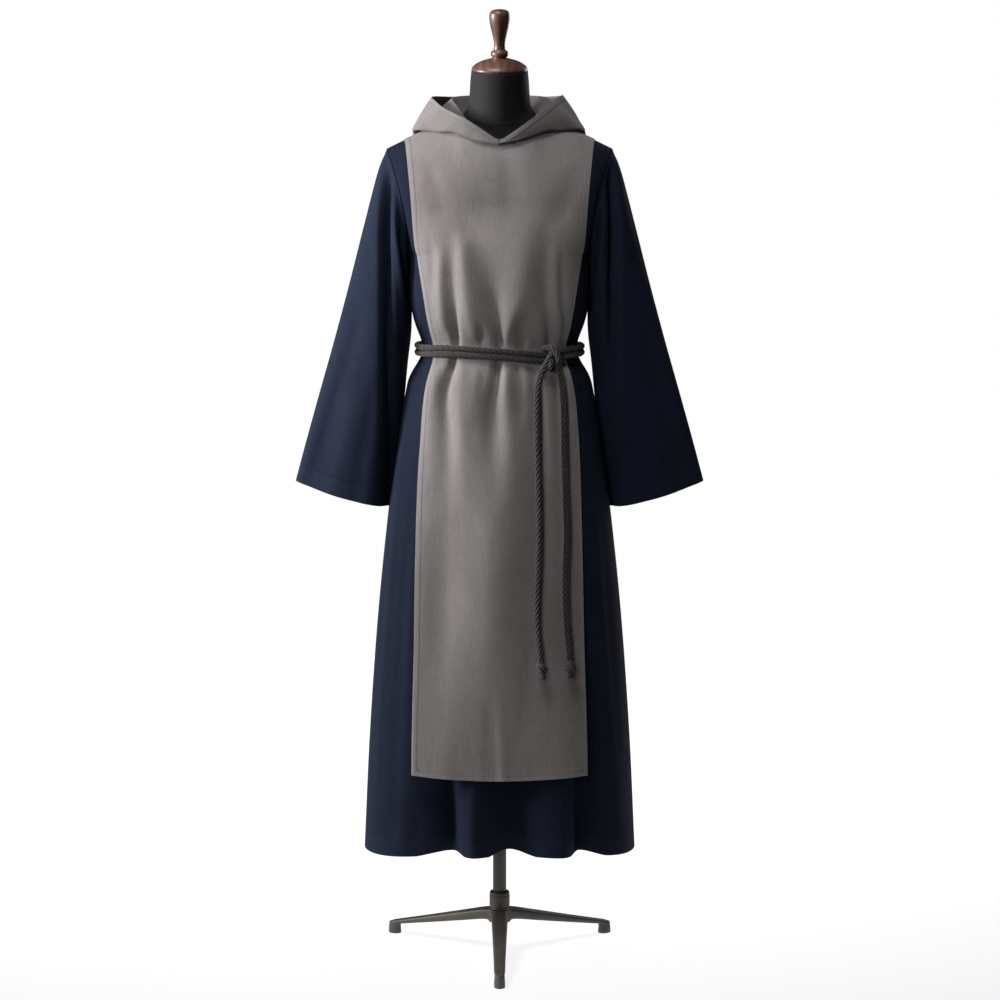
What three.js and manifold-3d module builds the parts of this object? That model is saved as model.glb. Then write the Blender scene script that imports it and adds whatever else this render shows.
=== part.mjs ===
// A monk's habit on a dress form, in millimetres, +Z up, the garment's front towards -Y.
// The origin is on the floor, under the pole of the stand.
//
// The tunic is described by one smooth body surface. A point on it has a face (front or back), a place
// across it from the left side seam (-1) over the centre line (0) to the right side seam (1), and a
// level from the shoulder seam (0) over the underarm (1) to the hem (2).
// Everything that lies on the tunic is made from that surface's points, moved out along its normals,
// and the dress form inside is made from the same points, moved in.
import * as THREE from "three";
import { mergeVertices } from "three/addons/utils/BufferGeometryUtils.js";
import Module from "manifold-3d";

// ---------------------------------------------------------------- driving dimensions
const seamGap = 0.3;
const tunicCloth = 1.4;
const scapularCloth = 1.4;
const hoodCloth = 1.4;
const ropeDiameter = 11;
const restGap = 0.4;

const FRONT = -1;
const BACK = 1;

// The shoulder and neck line, where the front and back panels are sewn.
const shoulder = { tipX: 203, tipZ: 1493, neckX: 76, neckZ: 1546, crown: 3, neckY: 6 };
const neckline = { frontDepth: 80, backDepth: 66, frontDrop: 46, backDrop: 6 };

// Places across the body where the neckline and the scapular end.
const halfColumns = 11;
const neckAcross = 3 / halfColumns;
const scapularAcross = 7 / halfColumns;

// The armhole is a leaning oval: its middle, its half height, its depth each way and its inward bow.
const armhole = { x: 182.5, z: 1399, leanX: 20.5, halfZ: 94, front: 60, back: 64, bow: 8 };
const chestDepth = { front: 104, back: 100 };
const underarmZ = armhole.z - armhole.halfZ;
const hemZ = 203;

// Tunic sections below the underarm: half width at the side seams, depth in front and behind,
// and how far inside the cloth the dress form lies.
const sections = [
  { level: "underarm", z: underarmZ, half: 162, front: 124, back: 104, inset: 6 },
  { level: "ribs", z: 1215, half: 162, front: 119, back: 99, inset: 12 },
  { level: "waist", z: 1130, half: 150, front: 106, back: 95, inset: 27 },
  { level: "belly", z: 1067, half: 169, front: 117.5, back: 111, inset: 20 },
  { level: "hip", z: 940, half: 188.5, front: 134, back: 139, inset: 18 },
  { level: "thigh", z: 833, half: 204, front: 141, back: 157, inset: 24 },
  { level: "knee", z: 640, half: 224.5, front: 149, back: 178, inset: 30 },
  { level: "shin", z: 420, half: 241, front: 156, back: 204, inset: 30 },
  { level: "hem", z: hemZ, half: 252, front: 160, back: 225, inset: 30 },
];
const sectionFullness = 0.25;

// The skirt's hem rises a little towards the centre front and the centre back, and by a share of
// the depth of each hollow fold.
const hemRise = { front: 17, back: 6, from: 420, hollowShare: 0.42 };

// The belt's height round the waist, the bite it takes out of the cloth, and its dip at the knot.
const belt = { z: 1130.5, bite: 9, biteHalf: 18, pitch: 11.6, sway: 70 };
const beltLine = [
  { place: "left side", x: -152, rise: 0 },
  { place: "left front", x: -80, rise: 2 },
  { place: "centre front", x: 0, rise: -3 },
  { place: "near the knot", x: 68, rise: -9 },
  { place: "knot", x: 92, rise: -9 },
  { place: "past the knot", x: 114, rise: -3 },
  { place: "right side", x: 152, rise: 0 },
];

// Folds that the belt gathers, in the scapular and the tunic alike: where each meets the belt,
// how deep and wide it is there, how far it reaches and how it drifts sideways on the way.
// Each is wider at its far end by the spread.
const gatherSpread = 0.9;
const frontGathers = [
  { fold: "left", x: -84, depth: 10, half: 14, up: 240, down: 190, driftUp: -16, driftDown: -28 },
  { fold: "left of centre", x: -33, depth: 3, half: 10, up: 70, down: 40, driftUp: 1, driftDown: -2 },
  { fold: "centre", x: -5, depth: 10, half: 13, up: 240, down: 330, driftUp: -72, driftDown: -34 },
  { fold: "right of centre", x: 32, depth: 3, half: 9, up: 75, down: 30, driftUp: -6, driftDown: 2 },
  { fold: "before the knot", x: 55, depth: 5, half: 11, up: 20, down: 250, driftUp: 0, driftDown: 8 },
  { fold: "right", x: 86, depth: 10, half: 15, up: 250, down: 350, driftUp: -20, driftDown: 6 },
];
const backGathers = [
  { fold: "left", x: -84, depth: 9, half: 13, up: 230, down: 390, driftUp: -20, driftDown: -25 },
  { fold: "left of centre", x: -33, depth: 7, half: 12, up: 200, down: 420, driftUp: 9, driftDown: 14 },
  { fold: "right of centre", x: 24, depth: 9, half: 13, up: 230, down: 230, driftUp: 16, driftDown: -14 },
  { fold: "right", x: 80, depth: 8, half: 13, up: 190, down: 400, driftUp: 16, driftDown: -26 },
];

// Folds of the skirt, in degrees from the centre line at the hem: out is positive, in is negative,
// with a width to each side, and the height where each fold has died away.
// Those degrees are of a hem drawn out front to back to the given times its depth.
const hemRoundness = 1.26;
const frontSkirtFolds = [
  { fold: "left side swell", at: -52, out: 9, left: 14, right: 12, top: 900 },
  { fold: "left hollow", at: -24, out: -20, left: 13, right: 5, top: 640 },
  { fold: "left ridge", at: -13, out: 13, left: 5, right: 9, top: 640 },
  { fold: "centre hollow", at: 5, out: -24, left: 9, right: 11, top: 700 },
  { fold: "right ridge", at: 30, out: 13, left: 13, right: 5, top: 700 },
  { fold: "right hollow", at: 41, out: -20, left: 5, right: 10, top: 760 },
  { fold: "right side swell", at: 56, out: 6, left: 9, right: 14, top: 900 },
];
const backSkirtFolds = [
  { fold: "left side swell", at: -58, out: 6, left: 12, right: 12, top: 820 },
  { fold: "left hollow", at: -36, out: -20, left: 12, right: 8, top: 880 },
  { fold: "left ridge", at: -20, out: 9, left: 8, right: 10, top: 840 },
  { fold: "centre hollow", at: -3, out: -22, left: 9, right: 9, top: 960 },
  { fold: "right ridge", at: 13, out: 10, left: 8, right: 9, top: 820 },
  { fold: "right hollow", at: 31, out: -20, left: 8, right: 12, top: 900 },
  { fold: "right side swell", at: 56, out: 6, left: 11, right: 14, top: 820 },
];

// The scapular's half width on the shoulder seam, and from the chest down to its hem.
const scapularShoulder = 172;
const scapularWidths = [
  { level: "chest", z: 1399, half: 157.5 },
  { level: "bust", z: 1311, half: 148 },
  { level: "ribs", z: 1224, half: 135 },
  { level: "above the belt", z: 1165, half: 126.5 },
  { level: "below the belt", z: 1112, half: 124.5 },
  { level: "belly", z: 1062, half: 133 },
  { level: "hip", z: 1010, half: 139 },
  { level: "thigh", z: 900, half: 144.5 },
  { level: "knee", z: 600, half: 148.5 },
  { level: "hem", z: 364, half: 151 },
];
const scapularHemZ = 364;
const scapularHang = { from: 1000, out: 12 };

// Sleeve sections from the armhole to the cuff: the outer and inner edge seen from the front,
// and the depth to the front and to the back.
const sleeveSections = [
  { at: "shoulder", outX: 221, outZ: 1446, inX: 163.8, inZ: 1266, front: 57, back: 60 },
  { at: "upper arm", outX: 247.5, outZ: 1348, inX: 163.6, inZ: 1214, front: 53, back: 56 },
  { at: "above the elbow", outX: 274, outZ: 1246, inX: 161.5, inZ: 1160, front: 49, back: 52 },
  { at: "elbow", outX: 302, outZ: 1144, inX: 168.5, inZ: 1100, front: 45, back: 49 },
  { at: "below the elbow", outX: 331, outZ: 1044, inX: 181, inZ: 1006, front: 42, back: 46 },
  { at: "wrist", outX: 356, outZ: 956, inX: 194.5, inZ: 914, front: 39, back: 43 },
  { at: "cuff", outX: 374.5, outZ: 888, inX: 205, inZ: 839, front: 37, back: 41 },
];
const cuffSag = 4;

// Soft folds of a sleeve: its place round the sleeve in degrees (0 outer edge, 90 front,
// 180 inner edge, 270 back), its stretch along the sleeve from 0 to 1, and its depth.
const sleeveFolds = [
  { fold: "front trough", round: 128, drift: 6, from: 0.02, to: 0.8, depth: 11, half: 22 },
  { fold: "front shallow", round: 68, drift: -10, from: 0.25, to: 1.15, depth: 4, half: 18 },
  { fold: "cuff hollow", round: 104, drift: 4, from: 0.6, to: 1.4, depth: 5, half: 13 },
  { fold: "back trough", round: 236, drift: -8, from: 0.02, to: 0.85, depth: 10, half: 24 },
  { fold: "back shallow", round: 296, drift: 8, from: 0.3, to: 1.2, depth: 5, half: 20 },
];

// The hood, laid down, by stations round the neck (0 degrees front, 180 back), for the right half.
// The cloth rises from its neck seam to the ridge, rolls over it, goes out and down to the lower
// fold, turns there and comes back up outside to its free face edge. The slack is how far the inner
// and the outer layer belly outwards between them.
const hoodStations = [
  { at: 0, ridge: [0, -80, 1509], fold: [0, -91, 1499], edge: [0, -92, 1506], slack: [0, 0] },
  { at: 18, ridge: [21, -77, 1514], fold: [33, -86, 1505], edge: [20, -88, 1519], slack: [0, 1] },
  { at: 38, ridge: [44, -61, 1530], fold: [62, -76, 1514.5], edge: [47, -80, 1537], slack: [0, 2] },
  { at: 49, ridge: [56, -47, 1541], fold: [85, -62, 1522], edge: [62, -73, 1546], slack: [0, 3] },
  { at: 60, ridge: [65, -32, 1550], fold: [108, -45, 1522], edge: [77, -62, 1553], slack: [0, 3] },
  { at: 78, ridge: [77, -6, 1568], fold: [142, -19, 1525.5], edge: [103, -32, 1567], slack: [0, 3] },
  { at: 90, ridge: [85, 14, 1578], fold: [153, 3, 1525], edge: [117, 1, 1579], slack: [1, 2] },
  { at: 96, ridge: [87, 22, 1582], fold: [156, 14, 1523], edge: [123, 16, 1584], slack: [2, 2] },
  { at: 115, ridge: [83, 48, 1585], fold: [152, 66, 1492], edge: [117, 60, 1587], slack: [10, 8] },
  { at: 126, ridge: [75, 57, 1586], fold: [140, 91, 1455], edge: [104, 81, 1587], slack: [11, 12] },
  { at: 138, ridge: [62, 67, 1586], fold: [122, 105, 1408], edge: [87, 98, 1587], slack: [10, 16] },
  { at: 158, ridge: [33, 78, 1586], fold: [70, 113, 1318], edge: [48, 114, 1587], slack: [8, 21] },
  { at: 180, ridge: [0, 82, 1586], fold: [0, 118, 1262], edge: [0, 120, 1587], slack: [4, 23] },
];
// The right side lies a little closer in than the left, and its face edge a little higher.
const rightSideLean = { at: 82, reach: 25, fold: 3, edge: 8, lift: 5 };
const ridgeRoll = 2.3;
const foldRoll = 3.2;

// The hanging ends of the belt, from the knot down to their end knots.
const leftEndRoute = [
  { x: 83, y: -109.4, z: 1110 },
  { x: 78, y: -110.5, z: 1100.5 },
  { x: 73.5, y: -112.5, z: 1090 },
  { x: 69, y: -118, z: 1073 },
  { x: 67, y: -124, z: 1045 },
  { x: 67, y: -132, z: 1000 },
  { x: 68, y: -138, z: 945 },
  { x: 70, y: -145, z: 880 },
  { x: 71, y: -150, z: 815 },
  { x: 70, y: -155, z: 750 },
  { x: 68, y: -159, z: 690 },
  { x: 69, y: -162, z: 640 },
  { x: 73, y: -165, z: 600 },
  { x: 75, y: -168, z: 578 },
];
const rightEndRoute = [
  { x: 104.5, y: -109.1, z: 1114.8 },
  { x: 105.5, y: -106.8, z: 1106 },
  { x: 108.5, y: -104, z: 1095 },
  { x: 112.5, y: -105.5, z: 1073 },
  { x: 115, y: -111, z: 1040 },
  { x: 116, y: -119, z: 990 },
  { x: 117, y: -127, z: 930 },
  { x: 119, y: -133, z: 870 },
  { x: 121, y: -139, z: 805 },
  { x: 119, y: -145, z: 740 },
  { x: 119, y: -149, z: 690 },
  { x: 122, y: -152, z: 640 },
  { x: 126, y: -155, z: 600 },
  { x: 127, y: -158, z: 578 },
];
const endKnot = { halfWidth: 10.5, halfHeight: 12 };

// The dress form: the rounded rings that close its bottom, and the rings of its neck, which leans
// forward.
const formBottomZ = 800;
const formBottomRings = [
  { scale: 0.96, z: 812 },
  { scale: 0.86, z: 803 },
  { scale: 0.72, z: formBottomZ },
];
const neckRings = [
  { ring: "neck base", half: 68, front: -67, back: 63, zFront: 1508, zSide: 1553, zBack: 1552 },
  { ring: "lower neck", half: 57.5, front: -62, back: 55, zFront: 1530, zSide: 1566, zBack: 1572 },
  { ring: "middle neck", half: 54.4, front: -60, back: 50, zFront: 1568, zSide: 1588, zBack: 1598 },
  { ring: "upper neck", half: 53, front: -59, back: 46, zFront: 1600, zSide: 1611, zBack: 1620 },
];
const neckTop = { y: -7, z: 1631.3, radius: 51, lean: 9 };

// The turned wooden cap and its finial, as radius and height on the neck's leaning axis.
const capProfile = [
  [0, 0], [49.5, 0], [50.6, 1.4], [50.6, 4], [49.4, 5.8], [47, 8.8], [40, 13.6], [31, 17.6],
  [21, 20.6], [14.4, 22.4], [13.2, 24.2], [15.4, 27], [16, 30.5], [15, 34], [11.6, 37], [10.2, 42],
  [10.2, 49], [11.2, 56], [13.2, 65], [15.8, 76], [18, 87], [18.6, 95], [18, 101.5], [15.4, 106],
  [10, 108.6], [0, 109.6],
];

// The stand: a pole in a grooved collar, on a cast base of three legs with oval feet.
const pole = { radius: 12.5, lowZ: 108.3 };
const collar = { radius: 19, lowZ: 80.3, topZ: 108, groove: 3, grooveDepth: 1.2, rim: 4 };
const hub = { radius: 21, lowZ: 55, topZ: 80, bevel: 3 };
const legStations = [
  { place: "inside the hub", reach: 4, half: 16, topZ: 79.5, lowZ: 56 },
  { place: "root", reach: 26, half: 15.5, topZ: 79, lowZ: 57 },
  { place: "middle", reach: 125, half: 12.5, topZ: 53, lowZ: 37.5 },
  { place: "tip", reach: 226, half: 9.8, topZ: 26.5, lowZ: 18.3 },
  { place: "end", reach: 236, half: 7.5, topZ: 24, lowZ: 18.3 },
];
const legEdge = 3;
// Each leg turns down into its foot: an oval pad, a little wider at the floor.
const foot = { halfLength: 13, halfWidth: 10.5, reach: 232, topZ: 22, bevel: 1.5, taper: 1.5 };
const legHeadings = [-90, 150, 30];

// ---------------------------------------------------------------- small maths
const mix = (a, b, t) => a + (b - a) * t;
const clamp01 = (t) => Math.min(1, Math.max(0, t));
const radians = (degrees) => (degrees * Math.PI) / 180;
const bell = (t) => Math.exp(-t * t);
const vec = (x, y, z) => new THREE.Vector3(x, y, z);

function ease(t) {
  const c = clamp01(t);
  return c * c * (3 - 2 * c);
}

// Reads one column of a table at any value of its key column, on a smooth curve through the rows.
function readTable(rows, key, column, at) {
  const up = rows[0][key] < rows[1][key] ? 1 : -1;
  let i = 0;
  while (i < rows.length - 2 && up * at > up * rows[i + 1][key]) i += 1;
  const slope = (k) => {
    const a = rows[Math.max(0, k - 1)];
    const b = rows[Math.min(rows.length - 1, k + 1)];
    return (b[column] - a[column]) / (b[key] - a[key]);
  };
  const [a, b] = [rows[i], rows[i + 1]];
  const span = b[key] - a[key];
  const t = clamp01((at - a[key]) / span);
  const [t2, t3] = [t * t, t * t * t];
  return (
    (2 * t3 - 3 * t2 + 1) * a[column] +
    (t3 - 2 * t2 + t) * span * slope(i) +
    (3 * t2 - 2 * t3) * b[column] +
    (t3 - t2) * span * slope(i + 1)
  );
}

// ---------------------------------------------------------------- the body surface
// Level 0 is the shoulder seam, 1 the underarm and 2 the hem.
const levelAt = (z) => 1 + (underarmZ - z) / (underarmZ - hemZ);
const heightAt = (level) => underarmZ - (level - 1) * (underarmZ - hemZ);
const depthShare = (angle) => {
  const s = Math.sin(angle);
  return Math.cos(angle) * (1 + sectionFullness * s * s);
};

// The armhole's seam, at a turn of 0 on the shoulder and a half turn under the arm, on the +X side.
function armholePoint(face, turn) {
  const [s, c] = [Math.sin(turn), Math.cos(turn)];
  const depth = face === FRONT ? armhole.front : armhole.back;
  const x = armhole.x + armhole.leanX * c - armhole.bow * s * s;
  return vec(x, face * depth * s, armhole.z + armhole.halfZ * c);
}

// The direction out of the armhole's oval, which both pieces sewn there share.
function armholeOut(face, turn, side) {
  const lean = armhole.leanX / armhole.halfZ;
  return vec(side * lean * Math.cos(turn), face * Math.sin(turn), Math.cos(turn)).normalize();
}

function shoulderLine(face, across) {
  const [a, side] = [Math.abs(across), Math.sign(across)];
  if (a <= neckAcross) {
    const round = (a / neckAcross) * (Math.PI / 2);
    const depth = face === FRONT ? neckline.frontDepth : neckline.backDepth;
    const drop = face === FRONT ? neckline.frontDrop : neckline.backDrop;
    const y = shoulder.neckY + face * depth * Math.cos(round);
    return vec(side * shoulder.neckX * Math.sin(round), y, shoulder.neckZ - drop * Math.cos(round) ** 2);
  }
  const x =
    a <= scapularAcross
      ? mix(shoulder.neckX, scapularShoulder, (a - neckAcross) / (scapularAcross - neckAcross))
      : mix(scapularShoulder, shoulder.tipX, (a - scapularAcross) / (1 - scapularAcross));
  const t = (x - shoulder.neckX) / (shoulder.tipX - shoulder.neckX);
  const z = mix(shoulder.neckZ, shoulder.tipZ, t) + shoulder.crown * Math.sin(Math.PI * t);
  return vec(side * x, mix(shoulder.neckY, 0, t), z);
}

// The angle round the body at a place across it, so that the scapular's edge stays at its own place.
function angleAt(across, z, half) {
  const edge = Math.asin(readTable(scapularWidths, "z", "half", z) / half);
  const a = Math.abs(across);
  if (a <= scapularAcross) return (edge * across) / scapularAcross;
  return Math.sign(across) * mix(edge, Math.PI / 2, (a - scapularAcross) / (1 - scapularAcross));
}

const beltRise = (face, x) => (face === FRONT ? readTable(beltLine, "x", "rise", x) : 0);

// A point of the tunic's section at a height below the underarm.
function sectionPoint(face, angle, z) {
  const share = depthShare(angle);
  const x = readTable(sections, "z", "half", z) * Math.sin(angle);
  const y = face * readTable(sections, "z", face === FRONT ? "front" : "back", z) * share;
  const low = ease((hemRise.from - z) / (hemRise.from - hemZ));
  const rise = (face === FRONT ? hemRise.front : hemRise.back) * share * share * low;
  return vec(x, y, z + rise + beltRise(face, x) * bell((z - belt.z) / belt.sway));
}

function bodyPoint(face, across, level) {
  if (level >= 1) {
    const z = heightAt(level);
    return sectionPoint(face, angleAt(across, z, readTable(sections, "z", "half", z)), z);
  }
  const turn = level * Math.PI;
  if (turn >= Math.PI / 2) {
    const below = turn / (Math.PI / 2) - 1;
    const edge = armholePoint(face, turn);
    const z = mix(armhole.z, underarmZ, below);
    const angle = angleAt(across, z, edge.x);
    const s = Math.sin(angle);
    const chest = face === FRONT ? chestDepth.front : chestDepth.back;
    const underarm = face === FRONT ? sections[0].front : sections[0].back;
    const y = mix(edge.y, face * mix(chest, underarm, ease(below)), depthShare(angle));
    return vec(edge.x * s, y, mix(z, edge.z, s * s));
  }
  const top = shoulderLine(face, across);
  const chest = bodyPoint(face, across, 0.5);
  const c = Math.cos(turn);
  const inward = (armhole.leanX * c + armhole.bow * c * c) / (armhole.leanX + armhole.bow);
  const y = mix(chest.y, top.y, 1 - Math.sin(turn));
  return vec(mix(chest.x, top.x, inward), y, mix(chest.z, top.z, c));
}

const normalStep = 0.004;

function bodyNormal(face, across, level) {
  const step = normalStep;
  const along = bodyPoint(face, Math.min(1, across + step), level);
  along.sub(bodyPoint(face, Math.max(-1, across - step), level));
  const down = bodyPoint(face, across, Math.min(2, level + step));
  down.sub(bodyPoint(face, across, Math.max(0, level - step)));
  return along.cross(down).multiplyScalar(face).normalize();
}

// How far the cloth is pulled in by the belt and its gathers, at a height along the belt's own line.
function beltPull(face, x, z) {
  const high = z - belt.z;
  let pull = -belt.bite * bell((high / belt.biteHalf) ** 2);
  for (const g of face === FRONT ? frontGathers : backGathers) {
    const share = high > 0 ? high / g.up : -high / g.down;
    const drift = high > 0 ? g.driftUp : g.driftDown;
    if (share >= 1) continue;
    const width = g.half * (1 + gatherSpread * share);
    pull -= g.depth * (1 - share) * bell((x - g.x - drift * share) / width);
  }
  return pull;
}

function skirtFolds(face, p) {
  const deep = face * p.y * hemRoundness;
  const round = (Math.atan2(p.x, deep) * 180) / Math.PI;
  let out = 0;
  for (const f of face === FRONT ? frontSkirtFolds : backSkirtFolds) {
    const away = round - f.at;
    out += f.out * bell(away / (away < 0 ? f.left : f.right)) * ease((f.top - p.z) / (f.top - hemZ));
  }
  return out;
}

// ---------------------------------------------------------------- solids from sheets
// Makes a closed solid from an outer and an inner grid of points, open or closed round its columns.
function sheetGeometry(outer, inner, closed) {
  const rows = outer.length;
  const columns = outer[0].length;
  const points = [...outer.flat(), ...inner.flat()];
  const faces = [];
  const id = (layer, r, c) => layer * rows * columns + r * columns + (c % columns);
  const quad = (a, b, c, d) => {
    if (points[a].distanceTo(points[c]) <= points[b].distanceTo(points[d])) {
      faces.push([a, b, c], [a, c, d]);
    } else {
      faces.push([a, b, d], [b, c, d]);
    }
  };
  const lastColumn = closed ? columns : columns - 1;
  for (let r = 0; r < rows - 1; r += 1) {
    for (let c = 0; c < lastColumn; c += 1) {
      quad(id(0, r, c), id(0, r + 1, c), id(0, r + 1, c + 1), id(0, r, c + 1));
      quad(id(1, r, c), id(1, r, c + 1), id(1, r + 1, c + 1), id(1, r + 1, c));
    }
    if (!closed) {
      quad(id(0, r, 0), id(1, r, 0), id(1, r + 1, 0), id(0, r + 1, 0));
      const end = columns - 1;
      quad(id(0, r, end), id(0, r + 1, end), id(1, r + 1, end), id(1, r, end));
    }
  }
  for (let c = 0; c < lastColumn; c += 1) {
    quad(id(0, 0, c), id(0, 0, c + 1), id(1, 0, c + 1), id(1, 0, c));
    quad(id(0, rows - 1, c), id(1, rows - 1, c), id(1, rows - 1, c + 1), id(0, rows - 1, c + 1));
  }
  return closedGeometry(points, faces);
}

const centreOf = (ring) => ring.reduce((sum, p) => sum.add(p), vec(0, 0, 0)).divideScalar(ring.length);

// Makes a closed solid from stacked closed rings, with a fan over each end.
function ringGeometry(rings) {
  const count = rings[0].length;
  const points = rings.flat();
  const faces = [];
  for (let r = 0; r < rings.length - 1; r += 1) {
    for (let c = 0; c < count; c += 1) {
      const [a, b] = [r * count + c, r * count + ((c + 1) % count)];
      faces.push([a, b, b + count], [a, b + count, a + count]);
    }
  }
  for (const end of [0, rings.length - 1]) {
    const first = end * count;
    const middle = centreOf(rings[end]);
    points.push(middle);
    for (let c = 0; c < count; c += 1) {
      const [a, b] = [first + c, first + ((c + 1) % count)];
      faces.push(first === 0 ? [b, a, points.length - 1] : [a, b, points.length - 1]);
    }
  }
  return closedGeometry(points, faces);
}

// Merges shared points, drops faces that have closed up, and turns the surface to face outwards.
function closedGeometry(points, faces) {
  const flat = new THREE.BufferGeometry();
  const numbers = points.flatMap((p) => p.toArray());
  flat.setAttribute("position", new THREE.Float32BufferAttribute(numbers, 3));
  flat.setIndex(faces.flat());
  const merged = mergeVertices(flat, 1e-3);
  const at = (i) => vec().fromBufferAttribute(merged.attributes.position, i);
  const kept = [];
  let volume = 0;
  for (let i = 0; i < merged.index.count; i += 3) {
    const [a, b, c] = [0, 1, 2].map((k) => merged.index.getX(i + k));
    if (a === b || b === c || a === c) continue;
    kept.push([a, b, c]);
    volume += at(a).dot(at(b).cross(at(c)));
  }
  merged.setIndex(kept.map(([a, b, c]) => (volume > 0 ? [a, b, c] : [a, c, b])).flat());
  return merged;
}

// A closed tube along points, as rings of sides turned square to the route.
function tubeGeometry(route, radius, sides, loop) {
  const rings = route.map((p, i) => {
    const before = route[loop ? (i + route.length - 1) % route.length : Math.max(0, i - 1)];
    const after = route[loop ? (i + 1) % route.length : Math.min(route.length - 1, i + 1)];
    const along = after.clone().sub(before).normalize();
    const lateral = Math.abs(along.z) > 0.7 ? vec(1, 0, 0) : vec(0, 0, 1);
    const right = along.clone().cross(lateral).normalize();
    const up = right.clone().cross(along).normalize();
    return Array.from({ length: sides }, (_, k) => {
      const a = (k / sides) * 2 * Math.PI;
      const out = right.clone().multiplyScalar(Math.cos(a) * radius);
      return out.addScaledVector(up, Math.sin(a) * radius).add(p);
    });
  });
  if (!loop) return ringGeometry(rings);
  const faces = [];
  rings.forEach((_, r) => {
    const next = ((r + 1) % rings.length) * sides;
    for (let c = 0; c < sides; c += 1) {
      const d = (c + 1) % sides;
      faces.push([r * sides + c, r * sides + d, next + d], [r * sides + c, next + d, next + c]);
    }
  });
  return closedGeometry(rings.flat(), faces);
}

// ---------------------------------------------------------------- finishes
const finish = (colour, roughness, metalness) =>
  new THREE.MeshStandardMaterial({ color: colour, roughness, metalness });
const navyCloth = finish(0x232a45, 0.9, 0);
const greyCloth = finish(0x8e8785, 0.9, 0);
const charcoalRope = finish(0x46423f, 0.85, 0);
const blackCloth = finish(0x232323, 0.85, 0);
const walnut = finish(0x4a2016, 0.3, 0);
const bronzeGrey = finish(0x4a4440, 0.45, 0.8);

const habit = new THREE.Group();

function addPiece(name, geometry, material) {
  geometry.computeVertexNormals();
  const mesh = new THREE.Mesh(geometry, material);
  mesh.name = name;
  habit.add(mesh);
  return mesh;
}

// ---------------------------------------------------------------- tunic
const shoulderLevels = [0, 0.13, 0.26, 0.4, 0.58, 0.8, 1];
const waistHeights = [1258, 1208, 1173, 1154, 1142.5, belt.z, 1118.5, 1107];
const skirtHeights = [1080, 1025, 945, 850, 745, 625, 490, scapularHemZ, 280, hemZ];
const tunicLevels = [...shoulderLevels, ...waistHeights.map(levelAt), ...skirtHeights.map(levelAt)];
const columnsTo = (end) =>
  Array.from({ length: 2 * end + 1 }, (_, c) => (c - end) / halfColumns);

function tunicPoint(face, across, level, depth) {
  const p = bodyPoint(face, across, level);
  const atArmhole = Math.abs(across) === 1 && level <= 1;
  const out = atArmhole ? armholeOut(face, level * Math.PI, across) : bodyNormal(face, across, level);
  const height = level >= 1 ? heightAt(level) : p.z;
  const skirt = skirtFolds(face, p);
  const low = ease((hemRise.from - height) / (hemRise.from - hemZ));
  const lift = Math.max(0, -skirt) * hemRise.hollowShare * low;
  p.addScaledVector(out, beltPull(face, p.x, height) + skirt - depth);
  return p.add(vec(0, (face * seamGap) / 2, lift));
}

function tunicPanel(face) {
  const grid = (depth) =>
    tunicLevels.map((level) =>
      columnsTo(halfColumns).map((across) => tunicPoint(face, across, level, depth)),
    );
  return sheetGeometry(grid(0), grid(tunicCloth), false);
}

addPiece("tunic_front", tunicPanel(FRONT), navyCloth);
addPiece("tunic_back", tunicPanel(BACK), navyCloth);

// ---------------------------------------------------------------- sleeves
const sleeveSides = 16;

function sleevePoint(section, share, round) {
  const [s, c] = [Math.sin(round), Math.cos(round)];
  const middle = vec((section.outX + section.inX) / 2, 0, (section.outZ + section.inZ) / 2);
  const reach = vec((section.outX - section.inX) / 2, 0, (section.outZ - section.inZ) / 2);
  const p = middle.addScaledVector(reach, c);
  p.y -= (s > 0 ? section.front : section.back) * s;
  p.z -= cuffSag * share * share * s * s;
  return p;
}

function sleeveFoldDepth(share, round) {
  const degrees = (round * 180) / Math.PI;
  let depth = 0;
  for (const f of sleeveFolds) {
    const along = (share - f.from) / (f.to - f.from);
    if (along <= 0 || along >= 1) continue;
    const swell = Math.sin(Math.PI * along);
    depth += f.depth * swell * bell((degrees - f.round - f.drift * along) / f.half);
  }
  return depth;
}

// Rings of the sleeve on the +X side: the first is the armhole's seam.
function sleeveRings(side, depth) {
  const rounds = Array.from({ length: sleeveSides }, (_, k) => (k / sleeveSides) * 2 * Math.PI);
  const seam = rounds.map((round) => {
    const face = Math.sin(round) >= 0 ? FRONT : BACK;
    const turn = round <= Math.PI ? round : 2 * Math.PI - round;
    const out = armholeOut(face, turn, 1);
    return armholePoint(face, turn).addScaledVector(out, -depth).add(vec(2 * seamGap, 0, 0));
  });
  const rings = sleeveSections.map((section, i) => {
    const share = (i + 1) / sleeveSections.length;
    const reach = vec((section.outX - section.inX) / 2, 0, (section.outZ - section.inZ) / 2);
    const half = reach.length();
    return rounds.map((round) => {
      const [s, c] = [Math.sin(round), Math.cos(round)];
      const flat = s > 0 ? section.front : section.back;
      const out = reach.clone().multiplyScalar(c / half ** 2).add(vec(0, -s / flat, 0)).normalize();
      const inward = depth + sleeveFoldDepth(share, round);
      return sleevePoint(section, share, round).addScaledVector(out, -inward);
    });
  });
  return [seam, ...rings].map((ring) => ring.map((p) => vec(side * p.x, p.y, p.z)));
}

for (const [name, side] of [["left", -1], ["right", 1]]) {
  const [outer, inner] = [0, tunicCloth].map((depth) => sleeveRings(side, depth));
  addPiece(`sleeve_${name}`, sheetGeometry(outer, inner, true), navyCloth);
}

// ---------------------------------------------------------------- scapular
const scapularLevels = tunicLevels.filter((level) => level <= levelAt(scapularHemZ));
const scapularHalfColumns = scapularAcross * halfColumns;
const hangOut = (z) => {
  const { from, out } = scapularHang;
  return out * ease((from - z) / (from - scapularHemZ));
};

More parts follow.
